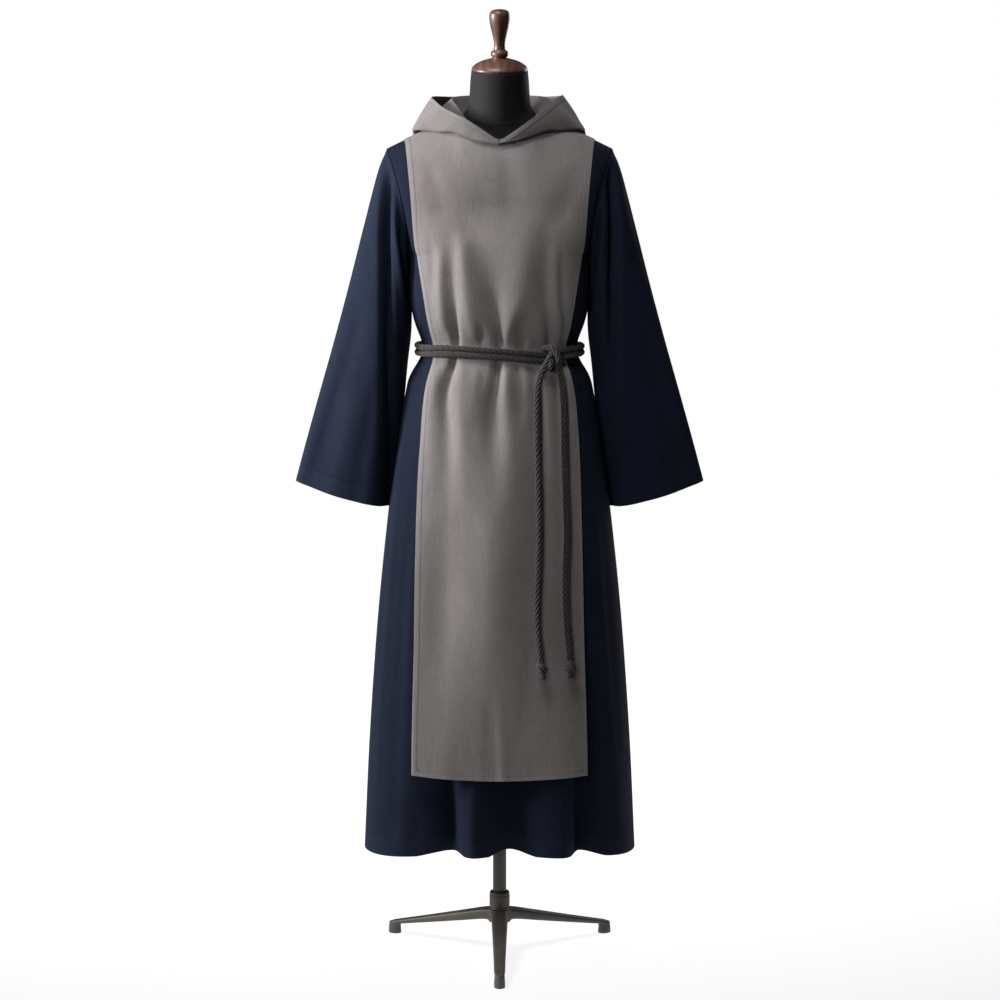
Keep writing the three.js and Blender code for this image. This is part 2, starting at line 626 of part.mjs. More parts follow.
function scapularPoint(face, across, level, lift) {
  const p = bodyPoint(face, across, level);
  const out = bodyNormal(face, across, level);
  const height = level >= 1 ? heightAt(level) : p.z;
  const away = beltPull(face, p.x, height) + hangOut(p.z) + seamGap + lift;
  return p.addScaledVector(out, away).add(vec(0, (face * seamGap) / 2, 0));
}

function scapularPanel(face) {
  const grid = (lift) =>
    scapularLevels.map((level) =>
      columnsTo(scapularHalfColumns).map((across) => scapularPoint(face, across, level, lift)),
    );
  return sheetGeometry(grid(scapularCloth), grid(0), false);
}

addPiece("scapular_front", scapularPanel(FRONT), greyCloth);
addPiece("scapular_back", scapularPanel(BACK), greyCloth);

// ---------------------------------------------------------------- hood
// The profile of the hood's cloth at one station, from its neck seam to its face edge.
function hoodProfile(station, side) {
  const round = radians(station.at);
  const face = station.at <= 90 ? FRONT : BACK;
  const column = (Math.min(station.at, 180 - station.at) / 90) * neckAcross * halfColumns;
  const [low, high] = [Math.floor(column), Math.ceil(column)].map((c) =>
    scapularPoint(face, c / halfColumns, 0, scapularCloth + 2 * restGap),
  );
  const seam = low.lerp(high, column % 1);
  const out = vec(Math.sin(round), -Math.cos(round), 0);
  const up = vec(0, 0, 1);
  const [ridge, fold, edge] = [station.ridge, station.fold, station.edge].map((p) => vec(...p));
  if (side > 0) {
    const share = Math.exp(-(((station.at - rightSideLean.at) / rightSideLean.reach) ** 2));
    fold.x -= rightSideLean.fold * share;
    edge.x -= rightSideLean.edge * share;
    edge.z += rightSideLean.lift * share;
  }
  const [slackIn, slackOut] = station.slack;
  const beside = (p, outward, upward) =>
    p.clone().addScaledVector(out, outward).addScaledVector(up, upward);
  const between = (a, b, t, slack) => {
    const bulge = slack * Math.sin(Math.PI * t);
    return a.clone().lerp(b, t).addScaledVector(out, bulge);
  };
  const ridgeIn = beside(ridge, -ridgeRoll, -ridgeRoll);
  const ridgeOut = beside(ridge, ridgeRoll, -ridgeRoll);
  const foldIn = beside(fold, -foldRoll, foldRoll);
  const foldOut = beside(fold, foldRoll, foldRoll);
  const profile = [
    seam,
    between(seam, ridgeIn, 0.5, 0),
    ridgeIn,
    ridge,
    ridgeOut,
    ...[0.25, 0.5, 0.75].map((t) => between(ridgeOut, foldIn, t, slackIn)),
    foldIn,
    fold,
    foldOut,
    ...[0.25, 0.5, 0.75].map((t) => between(foldOut, edge, t, slackOut)),
    edge,
  ];
  return profile.map((p) => vec(side * (p.x + seamGap / 2), p.y, p.z));
}

// The two faces of a sheet of even thickness about a grid of middle points.
function bothFaces(grid, thickness) {
  const last = { r: grid.length - 1, c: grid[0].length - 1 };
  const shifted = (sign) =>
    grid.map((row, r) =>
      row.map((p, c) => {
        const across = grid[r][Math.min(last.c, c + 1)].clone().sub(grid[r][Math.max(0, c - 1)]);
        const along = grid[Math.min(last.r, r + 1)][c].clone().sub(grid[Math.max(0, r - 1)][c]);
        const normal = across.cross(along).normalize();
        return p.clone().addScaledVector(normal, (sign * thickness) / 2);
      }),
    );
  return [shifted(1), shifted(-1)];
}

for (const [name, side] of [["left", -1], ["right", 1]]) {
  const stations = hoodStations.map((station) => hoodProfile(station, side));
  const [outer, inner] = bothFaces(stations, hoodCloth);
  for (const ends of [0, stations.length - 1]) {
    for (const grid of [outer, inner]) {
      grid[ends].forEach((p) => {
        p.x = (side * seamGap) / 2;
      });
    }
  }
  addPiece(`hood_${name}`, sheetGeometry(outer, inner, false), greyCloth);
}

// ---------------------------------------------------------------- belt
const beltSteps = 44;
const ropeSides = 8;
const beltLift = seamGap * 2 + scapularCloth + 4 * restGap + ropeDiameter / 2;

function beltRoute(drop) {
  return Array.from({ length: beltSteps }, (_, k) => {
    const round = (k / beltSteps) * 2 * Math.PI;
    const face = Math.cos(round) >= 0 ? FRONT : BACK;
    const angle = Math.atan2(Math.sin(round), Math.abs(Math.cos(round)));
    const p = sectionPoint(face, angle, belt.z);
    const beside = sectionPoint(face, angle + 0.01, belt.z).sub(sectionPoint(face, angle - 0.01, belt.z));
    const out = vec(-face * beside.y, face * beside.x, 0).normalize();
    return p.addScaledVector(out, beltLift - belt.bite).add(vec(0, 0, drop));
  });
}

const ropeRadius = ropeDiameter / 2;
const wrapRoutes = { upper: beltRoute(belt.pitch / 2), lower: beltRoute(-belt.pitch / 2) };
for (const [name, route] of Object.entries(wrapRoutes)) {
  addPiece(`belt_wrap_${name}`, tubeGeometry(route, ropeRadius, ropeSides, true), charcoalRope);
}

// A smooth curve through the given points, cut into equal steps.
function smoothRoute(points, steps) {
  const places = points.map((p) => vec(p.x, p.y, p.z));
  return new THREE.CatmullRomCurve3(places, false, "centripetal").getSpacedPoints(steps);
}

// The knot: an arch of rope over both wraps, joined with the turn that comes down in front of them.
const knotArch = [
  { x: 78, y: -97, z: 1134 },
  { x: 82, y: -99, z: 1138.5 },
  { x: 88, y: -102.5, z: 1139.5 },
  { x: 95, y: -107, z: 1136.5 },
  { x: 100.5, y: -109.5, z: 1131 },
  { x: 104, y: -110.5, z: 1123 },
  { x: 104.5, y: -109, z: 1114 },
];
const knotTurn = [
  { x: 97, y: -105, z: 1132 },
  { x: 92, y: -107, z: 1126 },
  { x: 87, y: -108.5, z: 1117.5 },
  { x: 82.5, y: -109.5, z: 1109 },
];

const wasm = await Module();
wasm.setup();

function solidOf(geometry) {
  const triVerts = new Uint32Array(geometry.index.array);
  const vertProperties = geometry.attributes.position.array;
  return new wasm.Manifold(new wasm.Mesh({ numProp: 3, vertProperties, triVerts }));
}

const largestOf = (solid) => solid.decompose().sort((a, b) => b.volume() - a.volume())[0];

function geometryOf(solid) {
  const made = solid.getMesh();
  const geometry = new THREE.BufferGeometry();
  geometry.setAttribute("position", new THREE.BufferAttribute(made.vertProperties, 3));
  geometry.setIndex(new THREE.BufferAttribute(made.triVerts, 1));
  return geometry;
}

const [endSteps, archSteps, turnSteps] = [26, 10, 6];
const clearRadius = ropeRadius + seamGap;
const [upperClear, lowerClear] = Object.values(wrapRoutes).map((route) =>
  solidOf(tubeGeometry(route, clearRadius, ropeSides, true)),
);
const endRoutes = {
  left: smoothRoute(leftEndRoute, endSteps),
  right: smoothRoute(rightEndRoute, endSteps),
};
const [leftClear, rightClear] = Object.values(endRoutes).map(([start, next, ...rest]) => {
  const lead = start.clone().sub(next).setLength(seamGap).add(start);
  return solidOf(tubeGeometry([lead, next, ...rest.slice(0, 2)], clearRadius, ropeSides, false));
});
const arch = solidOf(tubeGeometry(smoothRoute(knotArch, archSteps), ropeRadius, ropeSides, false));
const turn = solidOf(tubeGeometry(smoothRoute(knotTurn, turnSteps), ropeRadius, ropeSides, false));
const clears = [upperClear, lowerClear, leftClear, rightClear];
const knot = clears.reduce((sum, clear) => sum.subtract(clear), arch.add(turn));
addPiece("belt_knot", geometryOf(largestOf(knot)), charcoalRope);

// The hanging ends, each with its own end knot.
function endKnotGeometry(route) {
  const [above, last] = route.slice(-2).map((p) => p.clone());
  const along = last.clone().sub(above).normalize();
  const geometry = new THREE.SphereGeometry(1, 12, 8);
  geometry.deleteAttribute("normal");
  geometry.deleteAttribute("uv");
  geometry.scale(endKnot.halfWidth, endKnot.halfHeight, endKnot.halfWidth);
  geometry.applyQuaternion(new THREE.Quaternion().setFromUnitVectors(vec(0, -1, 0), along));
  const middle = last.addScaledVector(along, endKnot.halfHeight + seamGap);
  geometry.translate(middle.x, middle.y, middle.z);
  return mergeVertices(geometry, 1e-3);
}

for (const [name, route] of Object.entries(endRoutes)) {
  addPiece(`belt_end_${name}`, tubeGeometry(route, ropeRadius, ropeSides, false), charcoalRope);
  addPiece(`belt_end_knot_${name}`, endKnotGeometry(route), charcoalRope);
}

// ---------------------------------------------------------------- dress form
// The torso is the tunic's own surface, moved in, closed with flat plates at the armholes.
const formHeights = [1240, 1180, 1130, 1080, 1020, 950, 880, 830];
const formLevels = [...shoulderLevels, ...formHeights.map(levelAt)];
const shoulderInset = tunicCloth + 2 * restGap;

function formPoint(face, across, level) {
  if (level === 0) return shoulderLine(face, across).add(vec(0, 0, -shoulderInset));
  const p = bodyPoint(face, across, level);
  const atArmhole = Math.abs(across) === 1 && level <= 1;
  const out = atArmhole ? armholeOut(face, level * Math.PI, across) : bodyNormal(face, across, level);
  const inset = level < 1 ? mix(shoulderInset, sections[0].inset, ease(level)) : insetAt(heightAt(level));
  p.addScaledVector(out, -inset);
  if (atArmhole) p.x -= across * sections[0].inset * ease(level);
  return p;
}

const insetAt = (z) => readTable(sections, "z", "inset", z);

function formRing(level) {
  const places = columnsTo(halfColumns);
  const front = places.map((across) => formPoint(FRONT, across, level));
  const back = places.reverse().map((across) => formPoint(BACK, across, level));
  return [...front, ...back];
}

function torsoGeometry() {
  const rings = formLevels.map(formRing);
  const lowest = rings[rings.length - 1];
  const middle = centreOf(lowest);
  const shrunk = (scale, z) => lowest.map((p) => middle.clone().lerp(p, scale).setZ(z));
  rings.push(...formBottomRings.map(({ scale, z }) => shrunk(scale, z)));
  const points = rings.flat();
  const faces = [];
  const count = rings[0].length;
  for (let r = 0; r < rings.length - 1; r += 1) {
    for (let c = 0; c < count; c += 1) {
      const [a, b] = [r * count + c, r * count + ((c + 1) % count)];
      faces.push([a, b + count, b], [a, a + count, b + count]);
    }
  }
  const bottom = (rings.length - 1) * count;
  points.push(middle.clone().setZ(formBottomZ));
  for (let c = 0; c < count; c += 1) {
    faces.push([bottom + c, points.length - 1, bottom + ((c + 1) % count)]);
  }
  addNeck(points, faces, count);
  return closedGeometry(points, faces);
}

// The neck grows from the neck hole of the torso's first ring.
function addNeck(points, faces, count) {
  const side = neckAcross * halfColumns;
  const half = count / 2;
  const front = Array.from({ length: 2 * side + 1 }, (_, k) => halfColumns - side + k);
  const back = Array.from({ length: 2 * side - 1 }, (_, k) => half + halfColumns - side + 1 + k);
  let loop = [...front, ...back];
  const rounds = loop.map((_, k) => radians(-90 + (k * 90) / side));
  const lean = Math.tan(radians(neckTop.lean));
  const ringAt = (height) =>
    rounds.map((round) => {
      const [s, c] = [Math.sin(round), Math.cos(round)];
      return height(s, c);
    });
  const rings = neckRings.map((n) =>
    ringAt((s, c) => {
      const end = c > 0 ? n.zFront : n.zBack;
      return vec(n.half * s, (c > 0 ? n.front : -n.back) * c, mix(n.zSide, end, c * c));
    }),
  );
  rings.push(
    ringAt((s, c) => {
      const y = -neckTop.radius * c;
      return vec(neckTop.radius * s, neckTop.y + y, neckTop.z + y * lean);
    }),
  );
  for (const ring of rings) {
    const next = ring.map((p) => points.push(p) - 1);
    next.forEach((_, k) => {
      const m = (k + 1) % next.length;
      faces.push([loop[k], loop[m], next[m]], [loop[k], next[m], next[k]]);
    });
    loop = next;
  }
  points.push(vec(0, neckTop.y, neckTop.z));
  loop.forEach((_, k) => faces.push([loop[k], loop[(k + 1) % loop.length], points.length - 1]));
}

addPiece("form_torso", torsoGeometry(), blackCloth);

function latheGeometry(profile, sides) {
  const geometry = new THREE.LatheGeometry(profile.map(([r, z]) => new THREE.Vector2(r, z)), sides);
  geometry.rotateX(Math.PI / 2);
  geometry.deleteAttribute("normal");
  geometry.deleteAttribute("uv");
  return closedGeometry(
    Array.from({ length: geometry.attributes.position.count }, (_, i) =>
      vec().fromBufferAttribute(geometry.attributes.position, i),
    ),
    Array.from({ length: geometry.index.count / 3 }, (_, i) =>
      [0, 1, 2].map((k) => geometry.index.getX(3 * i + k)),
    ),
  );
}

const roundSides = 24;
const cap = addPiece("neck_cap", latheGeometry(capProfile, roundSides), walnut);
cap.rotation.x = radians(neckTop.lean);
cap.position.set(0, neckTop.y, neckTop.z + seamGap);

// ---------------------------------------------------------------- stand
const poleTopZ = formBottomZ - seamGap;
const poleProfile = [
  [0, pole.lowZ],
  [pole.radius, pole.lowZ],
  [pole.radius, poleTopZ],
  [0, poleTopZ],
];
addPiece("pole", latheGeometry(poleProfile, roundSides), bronzeGrey);

const [collarOut, collarIn] = [collar.radius, collar.radius - collar.grooveDepth];
const collarProfile = [
  [0, collar.lowZ],
  [collarOut, collar.lowZ],
  [collarOut, collar.lowZ + collar.rim],
  [collarIn, collar.lowZ + collar.rim],
  [collarIn, collar.lowZ + collar.rim + collar.groove],
  [collarOut, collar.lowZ + collar.rim + collar.groove],
  [collarOut, collar.topZ - collar.rim - collar.groove],
  [collarIn, collar.topZ - collar.rim - collar.groove],
  [collarIn, collar.topZ - collar.rim],
  [collarOut, collar.topZ - collar.rim],
  [collarIn, collar.topZ],
  [0, collar.topZ],
];
addPiece("base_collar", latheGeometry(collarProfile, roundSides), bronzeGrey);

// One leg of the base as bevelled sections along its heading.
function legGeometry(heading) {
  const along = vec(Math.cos(radians(heading)), Math.sin(radians(heading)), 0);
  const beside = vec(-along.y, along.x, 0);
  const rings = legStations.map((station) => {
    const corners = [
      [-station.half + legEdge, station.lowZ],
      [station.half - legEdge, station.lowZ],
      [station.half, station.lowZ + legEdge],
      [station.half, station.topZ - legEdge],
      [station.half - legEdge, station.topZ],
      [-station.half + legEdge, station.topZ],
      [-station.half, station.topZ - legEdge],
      [-station.half, station.lowZ + legEdge],
    ];
    return corners.map(([w, z]) =>
      vec(0, 0, z).addScaledVector(along, station.reach).addScaledVector(beside, w),
    );
  });
  return ringGeometry(rings);
}

const hubProfile = [
  [0, hub.lowZ],
  [hub.radius - hub.bevel, hub.lowZ],
  [hub.radius, hub.lowZ + hub.bevel],
  [hub.radius, hub.topZ],
  [0, hub.topZ],
];
const footProfile = [
  [0, 0],
  [foot.halfLength - foot.bevel, 0],
  [foot.halfLength, foot.bevel],
  [foot.halfLength - foot.taper, foot.topZ],
  [0, foot.topZ],
];

function footGeometry(heading) {
  const geometry = latheGeometry(footProfile, roundSides);
  geometry.scale(1, foot.halfWidth / foot.halfLength, 1);
  geometry.translate(foot.reach, 0, 0);
  return geometry.rotateZ(radians(heading));
}

const base = legHeadings.reduce(
  (sum, heading) => sum.add(solidOf(legGeometry(heading))).add(solidOf(footGeometry(heading))),
  solidOf(latheGeometry(hubProfile, roundSides)),
);
addPiece("base_legs", geometryOf(base), bronzeGrey);

export default habit;
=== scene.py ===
import math

import bpy
import numpy as np
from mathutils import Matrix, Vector


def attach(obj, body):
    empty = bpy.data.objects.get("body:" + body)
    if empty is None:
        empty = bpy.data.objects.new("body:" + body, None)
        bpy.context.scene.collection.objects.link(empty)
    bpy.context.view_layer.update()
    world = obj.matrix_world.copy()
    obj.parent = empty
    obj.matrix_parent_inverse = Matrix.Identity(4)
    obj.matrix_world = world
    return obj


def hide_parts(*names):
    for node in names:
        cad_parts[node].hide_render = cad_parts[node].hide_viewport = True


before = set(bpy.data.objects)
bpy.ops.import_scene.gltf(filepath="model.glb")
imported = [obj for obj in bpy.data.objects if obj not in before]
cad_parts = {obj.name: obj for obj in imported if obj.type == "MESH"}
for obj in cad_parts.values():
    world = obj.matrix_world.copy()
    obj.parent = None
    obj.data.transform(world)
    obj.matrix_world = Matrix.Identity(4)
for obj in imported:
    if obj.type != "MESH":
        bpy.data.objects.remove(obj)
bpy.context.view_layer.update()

FRONT, BACK = -1, 1
MM = 0.001
UP = np.array([0, 0, 1.0])
# A length too small to divide by, and one in metres beyond any edge.
TINY = 1e-9
FAR_AWAY = 9.0

# ---------------------------------------------------------------- sizes in mm, most shared with the CAD part
SEAM_GAP = 0.3
REST_GAP = 0.4
CLOTH = 1.4
ROPE = 11.0
ROPE_RADIUS = ROPE / 2
COLUMNS = 11
NECK_ACROSS = 3 / COLUMNS
SCAPULAR_ACROSS = 7 / COLUMNS
SCAPULAR_SHOULDER = 172
SCAPULAR_HEM = 364
HEM = 203
UNDERARM = 1305
FORM_BOTTOM = 800

SHOULDER = dict(tip_x=203, tip_z=1493, neck_x=76, neck_z=1546, crown=3, neck_y=6)
NECKLINE = {FRONT: dict(depth=80, drop=46), BACK: dict(depth=66, drop=6)}
ARMHOLE = dict(x=182.5, z=1399, lean=20.5, half_z=94, bow=8)
ARMHOLE_DEPTH = {FRONT: 60, BACK: 64}
CHEST_DEPTH = {FRONT: 104, BACK: 100}
FULLNESS = 0.25

# height, half width, front depth, back depth, form inset
SECTIONS = [
    (UNDERARM, 162, 124, 104, 6),
    (1215, 162, 119, 99, 12),
    (1130, 150, 106, 95, 27),
    (1067, 169, 117.5, 111, 20),
    (940, 188.5, 134, 139, 18),
    (833, 204, 141, 157, 24),
    (640, 224.5, 149, 178, 30),
    (420, 241, 156, 204, 30),
    (HEM, 252, 160, 225, 30),
]
HEM_RISE = {FRONT: 17, BACK: 6}
HEM_RISE_FROM = 420
HOLLOW_LIFT = 0.42

BELT = dict(z=1130.5, bite=9, bite_half=33, smooth=(9, 23), pitch=11.6, sway=70)
BELT_LINE = [(-152, 0), (-80, 2), (0, -3), (68, -9), (92, -9), (114, -3), (152, 0)]

# degrees round the hem, how far out, width to the left, width to the right, height where it ends
SKIRT_FOLDS = {
    FRONT: [
        (-52, 9, 14, 12, 900),
        (-24, -20, 13, 5, 640),
        (-13, 13, 5, 9, 640),
        (5, -24, 9, 11, 700),
        (30, 13, 13, 5, 700),
        (41, -20, 5, 10, 760),
        (56, 6, 9, 14, 900),
    ],
    BACK: [
        (-58, 6, 12, 12, 820),
        (-36, -20, 12, 8, 880),
        (-20, 9, 8, 10, 840),
        (-3, -22, 9, 9, 960),
        (13, 10, 8, 9, 820),
        (31, -20, 8, 12, 900),
        (56, 6, 11, 14, 820),
    ],
}

SCAPULAR_WIDTHS = [
    (1399, 157.5), (1311, 148), (1224, 135), (1165, 126.5), (1112, 124.5),
    (1062, 133), (1010, 139), (900, 144.5), (600, 148.5), (364, 151),
]
SCAPULAR_HANG = (1000, 12)
EDGE_FLARE = {FRONT: 8, BACK: 6}

# outer x, outer z, inner x, inner z, front depth, back depth
SLEEVE_SECTIONS = [
    (221, 1446, 161, 1266, 57, 60),
    (247.5, 1348, 160.4, 1214, 53, 56),
    (274, 1246, 161.5, 1160, 49, 52),
    (302, 1144, 168.5, 1100, 45, 49),
    (331, 1044, 178, 1006, 42, 46),
    (356, 956, 191.6, 914, 39, 43),
    (374.5, 888, 202.5, 839, 37, 41),
]
CUFF_SAG = 4
SLEEVE_COLUMNS = 96
SLEEVE_ROWS = 104
# Shares of the sleeve's length: rows at its seam, the even rows' first and last, and rows at its cuff.
SLEEVE_GUARDS = ((0, 0.003), (0.01, 0.99), (0.996, 0.9985, 1))
# The share of the sleeve's length over which its cloth turns out of the armhole's seam.
SLEEVE_SEAM_SHARE = 0.05
# The front is fullest on its inner half; the inner edge hangs a little behind the side seam.
SLEEVE_SKEW = math.radians(25)
INNER_EDGE_BACK = 20
# degrees round, drift, from, to, depth, half width
SLEEVE_FOLDS = [
    (236, -8, 0.02, 0.85, 10, 24),
    (296, 8, 0.3, 1.2, 5, 20),
]

# degrees, ridge x y z, fold x y z, edge x y z, inner slack, outer slack
HOOD_STATIONS = [
    (0, 0, -80, 1509, 0, -91, 1499, 0, -92, 1506, 0, 0),
    (18, 21, -77, 1514, 33, -86, 1505, 20, -88, 1519, 0, 1),
    (38, 44, -61, 1530, 62, -76, 1514.5, 47, -80, 1537, 0, 2),
    (49, 56, -47, 1541, 85, -62, 1522, 62, -73, 1546, 0, 3),
    (60, 65, -32, 1550, 108, -45, 1522, 77, -62, 1553, 0, 3),
    (78, 77, -6, 1568, 142, -19, 1525.5, 103, -32, 1567, 0, 3),
    (90, 85, 14, 1578, 153, 3, 1525, 117, 1, 1579, 1, 2),
    (96, 87, 22, 1582, 156, 14, 1523, 123, 16, 1584, 2, 2),
    (115, 83, 48, 1585, 152, 66, 1492, 117, 60, 1587, 10, 8),
    (126, 75, 57, 1586, 140, 91, 1455, 104, 81, 1587, 11, 12),
    (138, 62, 67, 1586, 122, 105, 1408, 87, 98, 1587, 10, 16),
    (158, 33, 78, 1586, 70, 113, 1318, 48, 114, 1587, 8, 21),
    (180, 0, 82, 1586, 0, 118, 1262, 0, 120, 1587, 4, 23),
]
RIDGE_ROLL, FOLD_ROLL = 2.3, 3.2
# The right side lies a little closer in than the left, and its face edge a little higher.
RIGHT_SIDE_LEAN = dict(at=84, reach=27, fold=4, edge=13, lift=5)

LEFT_END = [
    (83, -109.4, 1110), (78, -110.5, 1100.5), (73.5, -112.5, 1090), (69, -118, 1073), (67, -124, 1045),
    (67, -132, 1000), (68, -138, 945), (70, -145, 880), (71, -150, 815), (70, -155, 750), (68, -159, 690),
    (69, -162, 640), (73, -165, 600), (75, -168, 578),
]
RIGHT_END = [
    (104.5, -109.1, 1114.8), (105.5, -106.8, 1106), (108.5, -104, 1095), (112.5, -105.5, 1073),
    (115, -111, 1040), (116, -119, 990), (117, -127, 930), (119, -133, 870), (121, -139, 805),
    (119, -145, 740), (119, -149, 690), (122, -152, 640), (126, -155, 600), (127, -158, 578),
]
KNOT_ARCH = [
    (78, -97, 1134), (82, -99, 1138.5), (88, -102.5, 1139.5), (95, -107, 1136.5), (100.5, -109.5, 1131),
    (104, -110.5, 1123), (104.5, -109, 1114),
]
KNOT_TURN = [(97, -105, 1132), (92, -107, 1126), (87, -108.5, 1117.5), (82.5, -109.5, 1109)]
KNOT_STUB = [(91, -104, 1124), (92.5, -109, 1117), (91.5, -112.5, 1109), (89.5, -112.5, 1101.5)]


# ---------------------------------------------------------------- small maths on arrays
def mix(a, b, t):
    return a + (b - a) * t


def ease(t):
    c = np.clip(t, 0, 1)
    return c * c * (3 - 2 * c)


def bell(t):
    return np.exp(-t * t)


def fade(at, start, end):
    """0 at start, 1 at end and beyond it, smooth between them."""
    return ease((at - start) / (end - start))


def curve(t, start, end, slope_start, slope_end, span=1):
    """A cubic from start to end with the given slopes, at t from 0 to 1 over the span."""
    t2, t3 = t * t, t * t * t
    return (
        (2 * t3 - 3 * t2 + 1) * start + (t3 - 2 * t2 + t) * span * slope_start
        + (3 * t2 - 2 * t3) * end + (t3 - t2) * span * slope_end
    )


def column(rows, value, key=0):
    """Reads one column of a table at any value of its key column, on a smooth curve through the rows."""
    keys = np.array([row[key] for row in rows], float)
    values = np.array([row[value] for row in rows], float)
    if keys[0] > keys[-1]:
        keys, values = keys[::-1], values[::-1]
    steps = np.diff(values) / np.diff(keys)
    inner = (values[2:] - values[:-2]) / (keys[2:] - keys[:-2])
    slopes = np.concatenate([steps[:1], inner, steps[-1:]])

    def read(at):
        at = np.clip(np.asarray(at, float), keys[0], keys[-1])
        i = np.clip(np.searchsorted(keys, at, side="right") - 1, 0, len(keys) - 2)
        span = keys[i + 1] - keys[i]
        return curve((at - keys[i]) / span, values[i], values[i + 1], slopes[i], slopes[i + 1], span)

    return read


def through(rows, at):
    """Points at any place along stacked rows, on a smooth curve through them."""
    n = len(rows) - 1
    i = np.clip(np.floor(at).astype(int), 0, n - 1)
    a, b, c, d = (rows[np.clip(i + k, 0, n)] for k in (-1, 0, 1, 2))
    first, last = (i == 0)[:, None, None], (i == n - 1)[:, None, None]
    slope_b = np.where(first, c - b, (c - a) / 2)
    slope_c = np.where(last, c - b, (d - b) / 2)
    return curve((at - i)[:, None, None], b, c, slope_b, slope_c)


def unit(v):
    return v / np.maximum(np.linalg.norm(v, axis=-1, keepdims=True), TINY)


def stack(x, y, z):
    return np.stack(np.broadcast_arrays(x, y, z), axis=-1).astype(float)


half_at = column(SECTIONS, 1)
depth_at = {FRONT: column(SECTIONS, 2), BACK: column(SECTIONS, 3)}
inset_at = column(SECTIONS, 4)
belt_line = column(BELT_LINE, 1)
scapular_half = column(SCAPULAR_WIDTHS, 1)


# ---------------------------------------------------------------- the body surface, as in the CAD part
# Places and weights of the samples that even out a corner, and how far they spread.
SOFT_TAPS = [(-1, 0.06), (-0.67, 0.12), (-0.33, 0.2), (0, 0.24), (0.33, 0.2), (0.67, 0.12), (1, 0.06)]
NECK_SOFT = dict(spread=0.1, level=0.18)
UNDERARM_SOFT = dict(spread=42, reach=85, side_power=8)
NORMAL_STEP = 0.004
CHEST_LEVEL = 0.5
# The depth that stands for the skirt's own when the places of its folds are counted round the hem.
FOLD_ROUND_DEPTH = 200


def level_at(z):
    return 1 + (UNDERARM - z) / (UNDERARM - HEM)


def height_at(level):
    return UNDERARM - (level - 1) * (UNDERARM - HEM)


def depth_share(angle):
    s = np.sin(angle)
    return np.cos(angle) * (1 + FULLNESS * s * s)


def armhole_point(face, turn):
    s, c = np.sin(turn), np.cos(turn)
    x = ARMHOLE["x"] + ARMHOLE["lean"] * c - ARMHOLE["bow"] * s * s
    return stack(x, face * ARMHOLE_DEPTH[face] * s, ARMHOLE["z"] + ARMHOLE["half_z"] * c)


def armhole_out(face, turn, side):
    lean = ARMHOLE["lean"] / ARMHOLE["half_z"]
    return unit(stack(side * lean * np.cos(turn), face * np.sin(turn), np.cos(turn)))


def shoulder_line(face, across):
    a, side = np.abs(across), np.sign(across)
    turn = np.clip(a / NECK_ACROSS, 0, 1) * math.pi / 2
    s = SHOULDER
    neck = stack(
        side * s["neck_x"] * np.sin(turn),
        s["neck_y"] + face * NECKLINE[face]["depth"] * np.cos(turn),
        s["neck_z"] - NECKLINE[face]["drop"] * np.cos(turn) ** 2,
    )
    x = np.where(
        a <= SCAPULAR_ACROSS,
        mix(s["neck_x"], SCAPULAR_SHOULDER, (a - NECK_ACROSS) / (SCAPULAR_ACROSS - NECK_ACROSS)),
        mix(SCAPULAR_SHOULDER, s["tip_x"], (a - SCAPULAR_ACROSS) / (1 - SCAPULAR_ACROSS)),
    )
    t = (x - s["neck_x"]) / (s["tip_x"] - s["neck_x"])
    z = mix(s["neck_z"], s["tip_z"], t) + s["crown"] * np.sin(math.pi * t)
    slope = stack(side * x, mix(s["neck_y"], 0, t), z)
    return np.where((a <= NECK_ACROSS)[..., None], neck, slope)


def angle_at(across, z, half):
    edge = np.arcsin(scapular_half(z) / half)
    a = np.abs(across)
    outer = np.sign(across) * mix(edge, math.pi / 2, (a - SCAPULAR_ACROSS) / (1 - SCAPULAR_ACROSS))
    return np.where(a <= SCAPULAR_ACROSS, edge * across / SCAPULAR_ACROSS, outer)


def section_point(face, angle, z):
    share = depth_share(angle)
    x = half_at(z) * np.sin(angle)
    y = face * depth_at[face](z) * share
    rise = HEM_RISE[face] * share * share * fade(z, HEM_RISE_FROM, HEM)
    if face == FRONT:
        rise = rise + belt_line(x) * bell((z - BELT["z"]) / BELT["sway"])
    return stack(x, y, z + rise)


def soft_shoulder(face, across, level):
    """The shoulder line, its corner at the neck evened out below the seam."""
    reach = NECK_SOFT["spread"] * ease(level / NECK_SOFT["level"]) * (1 - across**2)
    return sum(w * shoulder_line(face, across + reach * t) for t, w in SOFT_TAPS)


def plain_body_point(face, across, level):
    z = height_at(np.maximum(level, 1))
    skirt = section_point(face, angle_at(across, z, half_at(z)), z)

    turn = np.clip(level, CHEST_LEVEL, 1) * math.pi
    below = turn / (math.pi / 2) - 1
    edge = armhole_point(face, turn)
    z = mix(ARMHOLE["z"], UNDERARM, below)
    angle = angle_at(across, z, edge[..., 0])
    s = np.sin(angle)
    deep = face * mix(CHEST_DEPTH[face], depth_at[face](UNDERARM), ease(below))
    y = mix(edge[..., 1], deep, depth_share(angle))
    upper = stack(edge[..., 0] * s, y, mix(z, edge[..., 2], s * s))
    if np.any(level < CHEST_LEVEL):
        # The yoke runs from the chest line up to the shoulder.
        rise = np.clip(level, 0, CHEST_LEVEL) * math.pi
        c = np.cos(rise)
        inward = (ARMHOLE["lean"] * c + ARMHOLE["bow"] * c * c) / (ARMHOLE["lean"] + ARMHOLE["bow"])
        yoke = mix(upper, soft_shoulder(face, across, level), stack(inward, 1 - np.sin(rise), c))
        upper = np.where((level < CHEST_LEVEL)[..., None], yoke, upper)
    return np.where((level >= 1)[..., None], skirt, upper)


